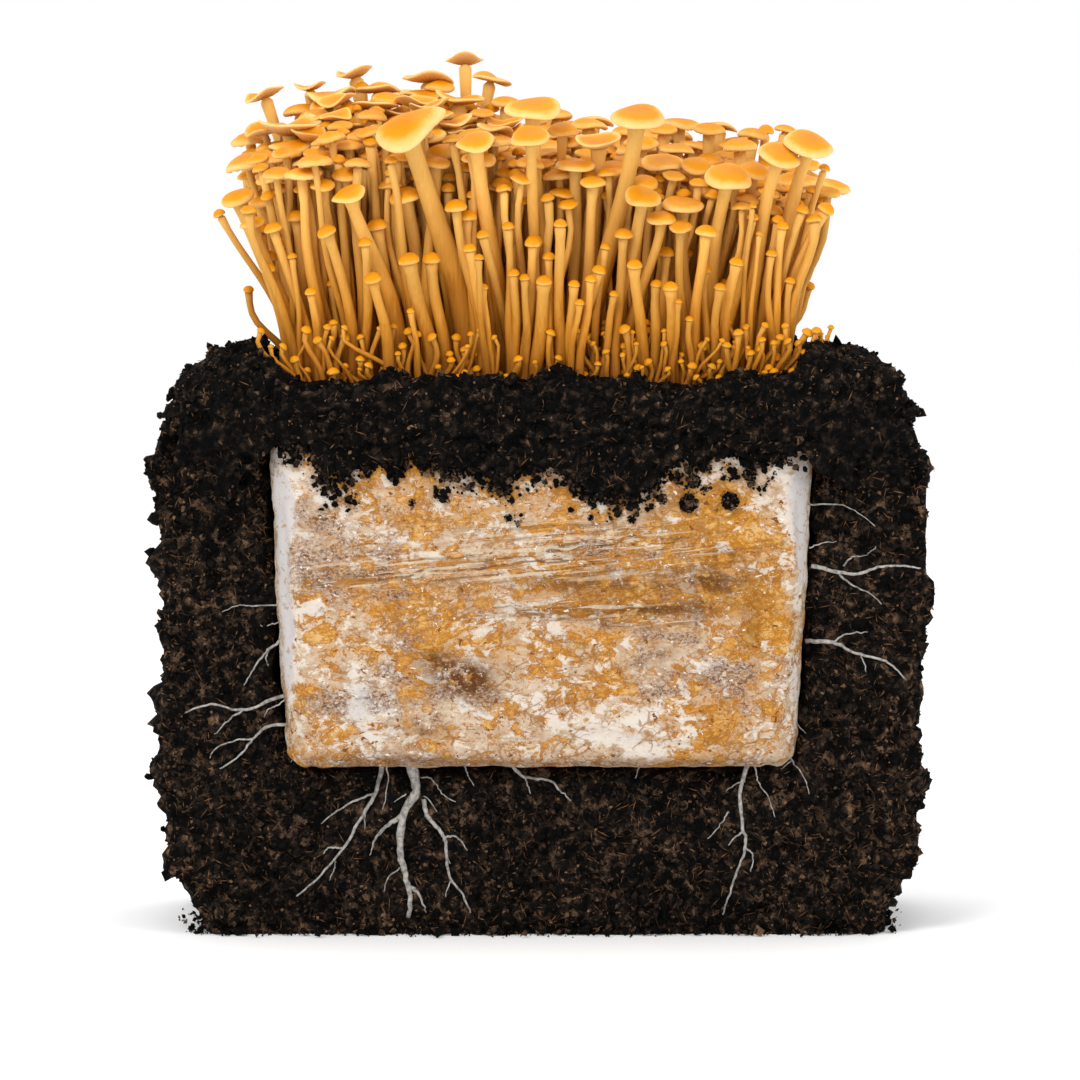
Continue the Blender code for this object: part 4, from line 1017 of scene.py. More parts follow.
def thin_out(piece, hidden, keep):
    """Merges faces, those round hidden points first, until that share of them is left."""
    group = piece.vertex_groups.new(name="hidden")
    group.add([int(index) for index in np.flatnonzero(hidden)], 1.0, "REPLACE")
    step = piece.modifiers.new("thin_out", "DECIMATE")
    step.ratio, step.vertex_group = keep, group.name
    bpy.context.view_layer.update()
    mesh = bpy.data.meshes.new_from_object(piece.evaluated_get(bpy.context.evaluated_depsgraph_get()))
    piece.modifiers.clear()
    piece.data = mesh
    piece.vertex_groups.clear()
    print(piece.name, "faces left:", len(mesh.polygons))


def smoothstep(value, low, high):
    """0 at low and 1 at high, with a soft start and end."""
    share = np.clip((value - low) / (high - low), 0, 1)
    return share * share * (3 - 2 * share)


# %% [markdown]
# Both solids of the soil get the same relief. Its mean is set back a little, so that the highest crumbs
# don't make the soil grow. The soil's upper left and right corners slump, as loose soil does.

# %% Relief of the soil
FLOOR = cad_low.z
# Each noise: the size of its lumps and how far they stand out.
SOIL_GRAIN = [(18 * MM, 2.0 * MM), (8 * MM, 2.4 * MM), (3 * MM, 1.2 * MM)]
SOIL_INSET = 2.0 * MM
SHOULDER_FROM, SHOULDER_TO = (112 * MM, 165 * MM), (147 * MM, 210 * MM)
SLUMP_IN, SLUMP_DOWN = 8 * MM, 10 * MM
RESTING = 0.6 * MM


def grain(points):
    """How far the soil stands out at each point, from noise at the sizes of its clods and crumbs."""
    moved = sum(height * lumps(points, size, seed) for seed, (size, height) in enumerate(SOIL_GRAIN))
    return moved - SOIL_INSET


def shoulder(points, solid_points):
    """Lets the upper left and right corners of the soil slump."""
    aside = smoothstep(np.abs(solid_points[:, 0]), SHOULDER_FROM[0], SHOULDER_TO[0])
    share = aside * smoothstep(solid_points[:, 2], SHOULDER_FROM[1], SHOULDER_TO[1])
    points[:, 0] -= np.sign(points[:, 0]) * SLUMP_IN * share
    points[:, 2] -= SLUMP_DOWN * share
    return points


def settle(points, solid_points):
    """Keeps what rests on the floor flat, and the rest above it."""
    points[solid_points[:, 2] < FLOOR + RESTING, 2] = FLOOR
    points[:, 2] = np.maximum(points[:, 2], FLOOR)
    return points


# %% [markdown]
# A spade leaves a face that is nearly flat but for crumbs, while the soil's left and right edges were
# torn off: they are bitten into by up to a centimetre. Right round the block the face falls back a
# little, because the block was moulded smooth and the soil only leans against it.

# %% Soil bed
BLOCK_LOW, BLOCK_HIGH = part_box("grow_block")
BLOCK_FOOT_WIDTH = 184 * MM
SOIL_FRONT = -54 * MM
TORN_FROM, TORN_FULLY = 118 * MM, 140 * MM
TORN_OUT = 3.0
GAP_ROUND_BLOCK, GAP_WIDTH = 4.5 * MM, 3.5 * MM


def outside_block(points):
    """How far points of the cut face are outside the block's outline, in metres."""
    share = np.clip((points[:, 2] - BLOCK_LOW[2]) / (BLOCK_HIGH[2] - BLOCK_LOW[2]), 0, 1) ** 0.6
    half = BLOCK_FOOT_WIDTH / 2 + share * (BLOCK_HIGH[0] - BLOCK_FOOT_WIDTH / 2)
    return np.maximum(np.abs(points[:, 0]) - half, BLOCK_LOW[2] - points[:, 2])


bed_solid, bed_faces, bed_normals = remeshed("soil_bed", 2.8 * MM)
torn = 6 * lumps(bed_solid, 17 * MM, 5) + 3.5 * lumps(bed_solid, 6 * MM, 6) - 3.5
torn = np.minimum(torn, TORN_OUT) * MM * smoothstep(np.abs(bed_solid[:, 0]), TORN_FROM, TORN_FULLY)
torn *= smoothstep(bed_solid[:, 2], 0, 6 * MM)
bed_points = bed_solid + bed_normals * (grain(bed_solid) + torn * np.abs(bed_normals[:, 0]))[:, None]
on_front = (bed_solid[:, 1] < SOIL_FRONT + 3 * MM).astype(float)
bed_points[:, 1] += on_front * GAP_ROUND_BLOCK * np.exp(-((outside_block(bed_solid) / GAP_WIDTH) ** 2))
bed_points = settle(shoulder(bed_points, bed_solid), bed_solid)
bed = add_piece("soil_bed_crust", bed_points, bed_faces, [soil], ["soil_bed"],
                values={"shade": 0.25 + 0.25 * lumps(bed_points, 3 * MM, 4)})

# %% [markdown]
# The faces that line the hollow behind the block, or that lie under the loose soil, are never seen. They
# are merged first, and then some of the others, to keep the piece light.

# %% Merge the bed's hidden faces
BED_KEPT = 0.72
behind_face = bed_solid[:, 1] > -48 * MM
in_hollow = (np.abs(bed_solid[:, 0]) < 103 * MM) & behind_face & (bed_solid[:, 1] < 57 * MM)
under_cover = (bed_solid[:, 2] > 198.5 * MM) & behind_face
thin_out(bed, (in_hollow & (bed_solid[:, 2] > 59 * MM)) | under_cover, BED_KEPT)

# %% [markdown]
# The loose soil on top was tipped on. In front it hangs over the block, and its lower edge is ragged,
# with single crumbs left behind on the block. Beside the block it runs into the cut face with no edge,
# so its thin ends there sink below that face.

# %% Soil cover
# How far the edge, where it thins out to single crumbs, ends above the solid's: across, and up, in mm.
THIN_EDGE = np.array([
    (-100, 1), (-90, 3), (-60, 4), (-50, 7.5), (-5, 7.5), (6, 4), (60, 4), (85, 3), (100, 1),
])
HANGING_FRONT = -62 * MM
ENDS_SUNK = 7 * MM
RESTS_BELOW = 1.5 * MM

cover_solid, cover_faces, cover_normals = remeshed("soil_cover", 1.9 * MM)
beside, up = np.abs(cover_solid[:, 0]), cover_solid[:, 2]
heaped = (3.5 * lumps(cover_solid, 17 * MM, 11) + 2 * lumps(cover_solid, 7 * MM, 12) - 0.5) * MM
heaped = np.maximum(heaped, -4 * MM) * np.clip(cover_normals[:, 2], 0, 1) * smoothstep(up, 203 * MM, 207 * MM)
resting = (cover_normals[:, 2] < -0.3) & (up > 198 * MM)
moved = np.where(resting, RESTS_BELOW, grain(cover_solid) + heaped)
cover_points = cover_solid + cover_normals * moved[:, None]
ends = smoothstep(beside, 101 * MM, 110 * MM) * smoothstep(-up, -196 * MM, -160 * MM)
cover_points[:, 1] += ENDS_SUNK * ends
hanging = (cover_solid[:, 1] < HANGING_FRONT) * smoothstep(-up, -190 * MM, -170 * MM)
ragged = 2.6 * lumps(cover_solid * (1, 0, 0.3), 4 * MM, 8) + 1.2 * lumps(cover_solid, 2 * MM, 9)
ragged += np.interp(cover_solid[:, 0] / MM, *THIN_EDGE.T)
cover_points[:, 2] += ragged * MM * hanging
cover_points = settle(shoulder(cover_points, cover_solid), cover_solid)
add_piece("soil_cover_crust", cover_points, cover_faces, [soil], ["soil_cover"],
          values={"shade": 0.15 + 0.25 * lumps(cover_points, 3 * MM, 4)})
print("soil cover faces:", len(cover_faces))

# %% [markdown]
# ## Crumbs
# Close up, soil is loose crumbs, and their shadows make its texture. A large crumb is a ball of twenty
# sides and a small one has eight, and both are squashed and dented at random. Thousands are strewn over
# the crust, at random places that are picked by area, so that they lie as thickly on large faces as on
# small ones.

# %% Random places on a surface
def spots(points, faces, normals, count, keep):
    """Random places on a mesh and the normals there, where keep says so, spread evenly by area."""
    corners = points[np.array(faces)]
    middle = corners.mean(axis=1)
    facing = normals[np.array(faces)].mean(axis=1)
    across_face = np.cross(corners[:, 2] - corners[:, 0], corners[:, 3] - corners[:, 1])
    area = 0.5 * np.linalg.norm(across_face, axis=1)
    chance = area * keep(middle, facing)
    picked = rng.choice(len(faces), count, p=chance / chance.sum())
    mix = rng.dirichlet((1, 1, 1, 1), count)
    return (corners[picked] * mix[:, :, None]).sum(axis=1), facing[picked]


# %% Two balls
def ball_faces(points, reach):
    """The triangles between nearest neighbours on a ball of points, facing out."""
    near = np.linalg.norm(points[:, None] - points[None], axis=2) < reach
    found = []
    for a, b, c in itertools.combinations(range(len(points)), 3):
        if near[a, b] and near[b, c] and near[a, c]:
            out = np.dot(np.cross(points[b] - points[a], points[c] - points[a]), points[a]) > 0
            found.append((a, b, c) if out else (a, c, b))
    return points, np.array(found)


GOLDEN = (1 + math.sqrt(5)) / 2
golden_corners = np.array([(a, b, 0) for a in (-1, 1) for b in (-GOLDEN, GOLDEN)])
golden_corners = golden_corners / math.sqrt(1 + GOLDEN**2)
turned = [golden_corners[:, order] for order in ([0, 1, 2], [2, 0, 1], [1, 2, 0])]
LARGE_BALL = ball_faces(np.concatenate(turned), 1.2)
SMALL_BALL = ball_faces(np.concatenate([np.eye(3), -np.eye(3)]), 1.5)
print("triangles of a large and a small crumb:", len(LARGE_BALL[1]), len(SMALL_BALL[1]))


# %% Many crumbs as one piece
def random_turns(count):
    """That many random rotation matrices."""
    q = rng.normal(size=(count, 4))
    w, x, y, z = (q / np.linalg.norm(q, axis=1)[:, None]).T
    return np.stack([
        1 - 2 * (y * y + z * z), 2 * (x * y - z * w), 2 * (x * z + y * w),
        2 * (x * y + z * w), 1 - 2 * (x * x + z * z), 2 * (y * z - x * w),
        2 * (x * z - y * w), 2 * (y * z + x * w), 1 - 2 * (x * x + y * y),
    ], axis=1).reshape(-1, 3, 3)


DENTS, SQUASHED = (0.5, 1.4), (0.6, 1.15)
MOSTLY_SMALL = 2.5  # the higher, the rarer are large ones


def crumb_piece(name, ball, places, facing, sizes, material, shades, sink=0.3):
    """Dented balls of those widths, sunk a little in the surface that they lie on."""
    corners, triangles = ball
    count, sides = len(places), len(corners)
    dents = rng.uniform(*DENTS, (count, sides, 1)) * rng.uniform(*SQUASHED, (count, 1, 3))
    balls = np.einsum("nij,nkj->nki", random_turns(count), corners[None] * dents)
    balls *= (sizes / 2)[:, None, None]
    balls += (places + facing * (sizes * (0.5 - sink))[:, None])[:, None, :]
    balls[:, :, 2] = np.maximum(balls[:, :, 2], FLOOR)
    faces = (triangles[None] + sides * np.arange(count)[:, None, None]).reshape(-1, 3)
    return add_piece(name, balls.reshape(-1, 3), faces.tolist(), [material],
                     values={"shade": np.repeat(shades, sides)}, smooth=False)


def crumb_sizes(count, smallest, largest):
    """Widths in metres. Small ones are much commoner than large ones."""
    return (smallest + (largest - smallest) * rng.random(count) ** MOSTLY_SMALL) * MM


# %% Where crumbs lie
CLEAR_OF_STRANDS = 2.0
LEFT_ON_STRANDS = 0.03
CLEAR_OF_BLOCK = 1.5 * MM
ROUTES = [line for _, lines in STRANDS.values() for line in lines] + FINE_THREADS


def on_cut_face(middle, facing):
    """On the face round the block, and hardly any on the strands."""
    across, up = middle[:, 0] / MM, middle[:, 2] / MM
    near_strand = np.min([distance_to(across, up, line) for line in ROUTES], axis=0) < CLEAR_OF_STRANDS
    front = (facing[:, 1] < -0.2) & (middle[:, 1] < SOIL_FRONT + 7 * MM)
    return front * (outside_block(middle) > CLEAR_OF_BLOCK) * np.where(near_strand, LEFT_ON_STRANDS, 1.0)


def on_outside(middle, facing):
    """On the bed's sides and back, and not in the hollow behind the block."""
    inside = (np.abs(middle[:, 0]) < 104 * MM) & (middle[:, 1] < 58 * MM)
    return np.where((facing[:, 1] > -0.6) & ~inside & (middle[:, 2] > 1 * MM), 1.0, 0.0)


def on_top(middle, facing):
    """On the loose soil, and fewer under it, behind it and where it sinks below the cut face."""
    sunk = (np.abs(middle[:, 0]) > 104 * MM) & (middle[:, 2] < 190 * MM)
    return np.where((facing[:, 2] > -0.4) & ~sunk & (middle[:, 1] < 60 * MM), 1.0, 0.25)


# %% Crumbs on the cut face, the sides and the top
FACE_SOIL = (bed_points, bed_faces, bed_normals, on_cut_face)
SIDE_SOIL = (bed_points, bed_faces, bed_normals, on_outside)
TOP_SOIL = (cover_points, cover_faces, cover_normals, on_top)
# Each kind: its name, its ball, the smallest and the largest in mm, and how pale the palest is.
KINDS = (("fine", SMALL_BALL, 0.6, 2.0, 0.6), ("coarse", LARGE_BALL, 1.8, 5.5, 0.4))
crumb_total = 0
for name, (points, faces, normals, keep), counts in (
    ("face", FACE_SOIL, (14500, 1300)), ("sides", SIDE_SOIL, (4500, 700)), ("top", TOP_SOIL, (9500, 1000)),
):
    for (label, ball, low, high, palest), count in zip(KINDS, counts):
        places, facing = spots(points, faces, normals, count, keep)
        shades = palest * rng.random(count) ** 1.8
        crumb_piece(f"soil_{name}_{label}", ball, places, facing, crumb_sizes(count, low, high), soil, shades)
        crumb_total += count
print("crumbs:", crumb_total)

# %% [markdown]
# Crumbs also break up the lower edge of the loose soil. Some hang from it and some are stuck to the block
# below it, singly or in small groups. The edge's height is measured first, in steps of two millimetres.

# %% Crumbs along the lower edge
EDGE_CRUMBS, CRUMB_GROUPS = 2600, 95
EDGE_STEP = 2
EDGE_HALF = 97
SINGLE_SHARE = 0.45
FINE_BELOW = 1.6 * MM
hangs = (cover_points[:, 1] < HANGING_FRONT) & (np.abs(cover_points[:, 0]) < 98 * MM)
edge_bins = np.round(cover_points[hangs, 0] / (EDGE_STEP * MM)).astype(int)
edge_steps = np.unique(edge_bins)
edge_z = np.array([cover_points[hangs, 2][edge_bins == step].min() for step in edge_steps])

groups = rng.integers(0, CRUMB_GROUPS, EDGE_CRUMBS)
# Where each group is, and how far below the edge. Most are near it.
group_across = rng.uniform(-EDGE_HALF, EDGE_HALF, CRUMB_GROUPS)
group_below = rng.gamma(1.2, 3.2, CRUMB_GROUPS)
single = rng.random(EDGE_CRUMBS) < SINGLE_SHARE
alone = rng.uniform(-EDGE_HALF, EDGE_HALF, EDGE_CRUMBS)
across = np.where(single, alone, group_across[groups] + rng.normal(0, 1.6, EDGE_CRUMBS))
alone = rng.gamma(1.1, 1.8, EDGE_CRUMBS)
below = np.where(single, alone, group_below[groups] + rng.normal(0, 1.3, EDGE_CRUMBS))
up = np.interp(across, edge_steps * EDGE_STEP, edge_z / MM) + 1.5 - below
sizes = crumb_sizes(EDGE_CRUMBS, 0.6, 3.2)
places = np.stack([across * MM, BLOCK_LOW[1] - 0.2 * sizes, up * MM], axis=1)
facing = np.tile((0.0, -1.0, 0.0), (EDGE_CRUMBS, 1))
shades = 0.5 * rng.random(EDGE_CRUMBS) ** 2
narrow = sizes < FINE_BELOW
for label, ball, some in (("fine", SMALL_BALL, narrow), ("coarse", LARGE_BALL, ~narrow)):
    crumb_piece(f"soil_edge_{label}", ball, places[some], facing[some], sizes[some], soil, shades[some])
print("crumbs along the edge:", EDGE_CRUMBS)

# %% [markdown]
# Others fell on the floor round the foot. The soil's outline there is measured as its reach in each
# direction from the middle, and the crumbs lie within 15 mm of it, most of them close by.

# %% Fallen crumbs
FALLEN_CRUMBS = 1500
FALLEN_FAR, FALLEN_UNDER = 15 * MM, 1.5 * MM
DIRECTIONS, SECTOR = 120, 0.04
footprint = bed_points[bed_points[:, 2] < FLOOR + 1 * MM, :2]
middle = (footprint.max(axis=0) + footprint.min(axis=0)) / 2
foot_turn = np.arctan2(*(footprint - middle).T[::-1]) % math.tau
foot_reach = np.linalg.norm(footprint - middle, axis=1)
steps = np.arange(0, math.tau, math.tau / DIRECTIONS)
reach = np.array([
    foot_reach[np.abs((foot_turn - step + math.pi) % math.tau - math.pi) < SECTOR].max() for step in steps
])

turn = rng.uniform(0, math.tau, FALLEN_CRUMBS)
away = np.minimum(rng.gamma(1.2, 2.6, FALLEN_CRUMBS) * MM, FALLEN_FAR)
out = np.interp(turn, steps, reach, period=math.tau) + away - FALLEN_UNDER
level = np.full(FALLEN_CRUMBS, FLOOR)
places = np.stack([middle[0] + np.cos(turn) * out, middle[1] + np.sin(turn) * out, level], axis=1)
facing = np.tile((0.0, 0.0, 1.0), (FALLEN_CRUMBS, 1))
sizes = crumb_sizes(FALLEN_CRUMBS, 0.8, 4.5)
shades = 0.5 * rng.random(FALLEN_CRUMBS) ** 2
crumb_piece("soil_fallen_crumbs", SMALL_BALL, places, facing, sizes, soil, shades, sink=0.1)
print("fallen crumbs:", FALLEN_CRUMBS)

# %% [markdown]
# A few round clods have rolled down the block and stuck. Each is a cluster of crumbs.

# %% Clods stuck to the block
# Each clod: across, up and width, in millimetres.
CLODS = [(53.6, 159.9, 7.3), (68.9, 160.7, 7.0), (44, 161.4, 4.4), (76, 170.5, 5.8), (55.7, 168, 5.4),
         (-47, 160, 3.0), (-12, 154.5, 3.2), (33, 154, 3.6), (18, 154.5, 2.6), (60, 165, 2.4)]
places, sizes = [], []
for x, z, width in CLODS:
    middle = np.array([x, BLOCK_LOW[1] / MM - 0.22 * width, z])
    places.append(middle)
    sizes.append(0.86 * width)
    for _ in range(int(16 * width)):
        out = rng.normal(size=3)
        out /= np.linalg.norm(out)
        places.append(middle + 0.42 * width * out * (1, 0.6, 1))
        sizes.append(rng.uniform(0.08, 0.24) * width)
places, sizes = np.array(places) * MM, np.array(sizes) * MM
shades = 0.5 * rng.random(len(places)) ** 1.5
crumb_piece("soil_clods", LARGE_BALL, places, np.zeros_like(places), sizes, soil, shades)
print("clods:", len(CLODS))

# %% [markdown]
# ## Fibres
# The splinters are short slivers. Each is a thin spindle that lies almost flat on the soil and points
# anywhere. They are about half a millimetre thick at most, as torn bark is.

# %% Strew fibres
waist = [(0, math.cos(turn), math.sin(turn)) for turn in (0, math.tau / 3, 2 * math.tau / 3)]
SPINDLE = np.array([(-1, 0, 0), *waist, (1, 0, 0)])
SPINDLE_FACES = np.array([(0, 2, 1), (0, 3, 2), (0, 1, 3), (4, 1, 2), (4, 2, 3), (4, 3, 1)])
HALF_LENGTH, HALF_WIDTH = (0.6, 2.8), (0.1, 0.26)  # in mm


def fibre_piece(name, places, facing):
    """Slivers of bark lying on a surface."""
    count = len(places)
    along = np.cross(facing, rng.normal(size=(count, 3)))
    along += 0.3 * facing * rng.random((count, 1))
    along /= np.linalg.norm(along, axis=1)[:, None]
    side = np.cross(along, facing)
    side /= np.linalg.norm(side, axis=1)[:, None]
    third = np.cross(along, side)
    length = rng.uniform(*HALF_LENGTH, count) * MM
    thick = rng.uniform(*HALF_WIDTH, count) * MM
    scaled = SPINDLE[None] * np.stack([length, thick, thick], axis=1)[:, None, :]
    points = np.einsum("nkj,nji->nki", scaled, np.stack([along, side, third], axis=1))
    points += (places + facing * 0.6 * MM)[:, None, :]
    points[:, :, 2] = np.maximum(points[:, :, 2], FLOOR)
    faces = (SPINDLE_FACES[None] + 5 * np.arange(count)[:, None, None]).reshape(-1, 3)
    shades = np.repeat(rng.random(count) ** 1.6, 5)
    return add_piece(name, points.reshape(-1, 3), faces.tolist(), [fibre],
                     values={"shade": shades}, smooth=False)


for name, (points, faces, normals, keep), count in (
    ("face", FACE_SOIL, 2600), ("sides", SIDE_SOIL, 1200), ("top", TOP_SOIL, 1200),
):
    made = fibre_piece(f"bark_fibres_{name}", *spots(points, faces, normals, count, keep))
    print(made.name, count)

# %% [markdown]
# ## Finish of the block
# The block is sawdust bound by mycelium. Where the threads are thick its skin is cream or white, where
# they are thin the tan sawdust shows. Over that lie stains of ochre, left by liquid that the mycelium
# sweats out: it dries from the rim inwards, so a stain is darkest along its crisp edge and fades towards
# its middle. Each stain is a noise that is cut off sharply at a level, with a colour ramp that starts
# there. Listed zones raise or lower the noise, so the stains lie where the photo has them.

# %% Patterns on the block
# Colonised sawdust: a matted felt of threads pressed smooth by its bag. It gives the eye a dry matt
# skin with stains from half a millimetre to two centimetres wide, each with a dark rim.
ZONE_LABELS = ("orange", "grey", "brown", "white", "crease")
PULL_TILT, PULL = math.radians(6), (0.72, 1.0, 1.0)  # the patterns are wider than high, and slope a little

block_skin, tree, shader = new_material("colonised_sawdust", IOR=1.45, Roughness=0.82, Specular_IOR_Level=0.2)
place, *numbers = readings(tree, *ZONE_LABELS)
zones = dict(zip(ZONE_LABELS, numbers))
pulled = add_node(
    tree, "ShaderNodeMapping", {"Vector": place, "Rotation": (0.0, PULL_TILT, 0.0), "Scale": PULL}
).outputs[0]


def mottling(size, detail=6.0, roughness=0.68, offset=0.0, warp=0.4, vector=pulled):
    """Noise with patches of that size in metres. Each offset gives another pattern."""
    inputs = {"Vector": vector, "Location": (offset, offset, 2 * offset)}
    moved = add_node(tree, "ShaderNodeMapping", inputs).outputs[0]
    inputs = {"Vector": moved, "Scale": 1 / size, "Detail": detail, "Roughness": roughness}
    return add_node(tree, "ShaderNodeTexNoise", {**inputs, "Distortion": warp}).outputs["Fac"]


# %% Threads over sawdust
fine = mottling(1.3 * MM, 4.0, 0.75, 0.3)
middling = mottling(5 * MM, 6.0, 0.7, 0.7)
skin = layered(
    tree, linear("#A88A6C"),
    (linear("#C9B59E"), mask(tree, (middling, 0.36, 0.62))),
    (linear("#9C7B5A"), mask(tree, (fine, 0.52, 0.66), strength=0.55)),
)
print("block, nodes so far:", len(tree.nodes))

# %% [markdown]
# The stains come in three sizes, over a broad wash of ochre. Islands of pale threads lie over them.

# %% Ochre stains and pale islands
OCHRES = ("#6E3C0C", "#A2661A", "#BE8430", "#C9A468")
THREADS = ("#8A5F2A", "#C6B6A2", "#D0C6B9", "#D2CAC0")
STAIN_EDGE = 0.008


def stain(field, level, reach, colours, strength):
    """A layer where a field is above a level. Its first colour is the rim's, its last the middle's."""
    ramp = add_node(tree, "ShaderNodeValToRGB", {"Fac": mask(tree, (field, level, level + reach))})
    stops = ramp.color_ramp.elements
    stops[0].color, stops[-1].color = linear(colours[0]), linear(colours[-1])
    for number, hex_colour in enumerate(colours[1:-1], 1):
        stops.new((number / (len(colours) - 1)) ** 1.5).color = linear(hex_colour)
    return ramp.outputs["Color"], mask(tree, (field, level, level + STAIN_EDGE), strength=strength)


wash = lifted(tree, mottling(24 * MM, 5.0, 0.6, 2.2), (zones["orange"], 0.2), (zones["white"], -0.34))
skin = layered(tree, skin, (linear("#BB853A"), mask(tree, (wash, 0.46, 0.68), strength=0.85)))
for size, level, offset, strength in (
    (12 * MM, 0.64, 0.0, 0.9), (4.5 * MM, 0.66, 3.3, 0.85), (2.2 * MM, 0.68, 8.1, 0.75),
):
    field = lifted(tree, mottling(size, 7.0, 0.68, offset), (wash, 0.22))
    skin = layered(tree, skin, stain(field, level, 0.12, OCHRES, strength))
islands = lifted(tree, mottling(6 * MM, 7.0, 0.7, 1.9), (zones["white"], 0.12), (wash, -0.2))
skin = layered(tree, skin, stain(islands, 0.455, 0.1, THREADS, 0.85))
print("block, nodes so far:", len(tree.nodes))

# %% [markdown]
# Where two colonies of threads meet they leave a thin brown line. A cell texture gives such lines, once
# a noise has pulled its straight walls out of line. Where threads are thin the skin is grey and
# speckled, and where it was wet for long it is dark brown. The same grey and brown, in thin bands
# along the block's lower edge, are painted shadow.

# %% Lines between colonies, grey and brown
WAVES = (6 * MM, 6 * MM, 6 * MM)
inputs = {0: mottling(4 * MM, 3.0, 0.6, 5.1), 1: WAVES, 2: pulled}
wavy = add_node(tree, "ShaderNodeVectorMath", inputs, operation="MULTIPLY_ADD").outputs[0]
walls = add_node(
    tree, "ShaderNodeTexVoronoi", {"Vector": wavy, "Scale": 1 / (4.2 * MM)}, feature="DISTANCE_TO_EDGE"
).outputs["Distance"]
met = mask(tree, (walls, 0.09, 0.03), (mottling(14 * MM, 4.0, 0.6, 3.1), 0.5, 0.56), strength=0.7)

# Grey zones include two long bands along the block's lower edge, where this speckle is painted shadow.
grey_and_edge_shadow = lifted(tree, mottling(13 * MM, 7.0, 0.7, 4.7), (zones["grey"], 0.17))
grains = mask(tree, (mottling(0.8 * MM, 3.0, 0.7, 5.3, 0.0), 0.42, 0.58))
speckle = layered(tree, linear("#5A4031"), (linear("#AA9280"), grains))
skin = layered(
    tree, skin,
    (linear("#8A5C26"), met),
    (speckle, mask(tree, (grey_and_edge_shadow, 0.57, 0.68), (fine, 0.4, 0.47), strength=0.9)),
    # Brown zones include thin bands along the block's lower edge: painted shadow.
    (linear("#56300E"), mask(tree, (middling, 0.38, 0.5), (fine, 0.34, 0.46), strength=zones["brown"])),
    (linear("#70431A"), mask(tree, (mottling(2.4 * MM, 3.0, 0.6, 6.1), 0.65, 0.67))),
)
print("block, nodes so far:", len(tree.nodes))

# %% [markdown]
# Along the bag's folds the stains are drawn out in dark, ochre and pale streaks. Last come white flecks,
# which are painted highlights, and the bare pale skin at the block's edges, which no stain has reached.

# %% Streaks along the folds, painted highlight flecks and bare skin
STREAK_TILT, STREAK_PULL = math.radians(-5.5), (22.0, 1.0, 1.0)
drawn = add_node(
    tree, "ShaderNodeMapping", {"Vector": place, "Rotation": (0.0, STREAK_TILT, 0.0), "Scale": STREAK_PULL},
    vector_type="TEXTURE",
).outputs[0]
for offset, hex_colour, strength in ((0.4, "#4E3218", 0.8), (1.7, "#A4691C", 0.8), (2.9, "#CFC1AA", 0.75)):
    lines = mottling(1.5 * MM, 3.0, 0.6, offset, 0.1, drawn)
    shows = mask(tree, (lines, 0.55, 0.6), (zones["crease"], 0.0, 1.0), strength=strength)
    skin = layered(tree, skin, (linear(hex_colour), shows))

# White flecks: small painted highlights, like glints on the threads.
glint_flecks = lifted(tree, mottling(2.0 * MM, 3.0, 0.6, 7.7), (zones["white"], 0.04))
thin_spots = mask(tree, (mottling(2.6 * MM, 6.0, 0.7, 9.3), 0.56, 0.62))
bare = layered(tree, linear("#BDB7B5"), (linear("#A8927C"), thin_spots))
bareness = lifted(tree, zones["white"], (middling, 0.8))
skin = layered(
    tree, skin,
    (linear("#D9D2C8"), mask(tree, (glint_flecks, 0.68, 0.69))),
    (bare, mask(tree, (bareness, 0.95, 1.12))),
)
coat(tree, shader, skin, (fine, 0.5, 0.5 * MM), (middling, 0.5, 1.2 * MM))
print("block, nodes in all:", len(tree.nodes))

# %% [markdown]
# ## Shape of the block
# The bag leaves its folds in the block: a long crease across the face, ridges beside it, and shallow
# hollows. Each is a line across the face with a depth and a width, and a point near the line is moved in
# or out by a soft bell curve of its distance from it. The rest of the skin only gets slight lumps.

# %% Folds of the bag
# Each fold: its height (out of the face) and half width in mm, then its points across and up in mm.
FOLDS = [
    (-1.9, 0.9, [(-79, 129.7), (-58, 132.2), (-34, 135.5), (-13.5, 136.6), (7, 138.4), (37, 141.3)]),
    (1.1, 1.5, [(-70, 133.6), (-50, 137), (-28, 140.6), (-6, 141)]),
    (1.5, 1.4, [(-0.5, 145), (16.5, 146.8), (33, 148.6), (46, 149.7)]),
    (-1.3, 1.2, [(2, 141.5), (18, 143), (40, 145.6)]),
    (1.5, 1.3, [(-13.5, 123.1), (7, 120.6), (29, 117.7)]),
    (-1.5, 1.0, [(-12, 120.4), (8, 118), (31, 115), (44, 114.6)]),
    (0.8, 1.8, [(-92, 158), (-90, 128), (-86, 98), (-83, 78)]),
    (0.8, 1.8, [(91, 160), (92, 130), (90, 104), (87, 84)]),
    (-0.8, 1.3, [(-60, 78), (-32, 74.5), (2, 73), (24, 75)]),
    (0.7, 1.6, [(8, 79), (36, 76), (62, 73.5)]),
    (-0.6, 1.1, [(30, 92), (52, 97), (70, 96)]),
    (1.2, 1.1, [(-84, 64.5), (-77, 63.6), (-70, 63.2)]),
]


def patch(across, up, places):
    """How strongly soft spots cover each point, from 0 to 1."""
    total = np.zeros(len(across))
    for x, z, wide, high, strength in places:
        total += strength * np.exp(-(((across - x) / wide) ** 2) - ((up - z) / high) ** 2)
    return np.clip(total, 0, 1)
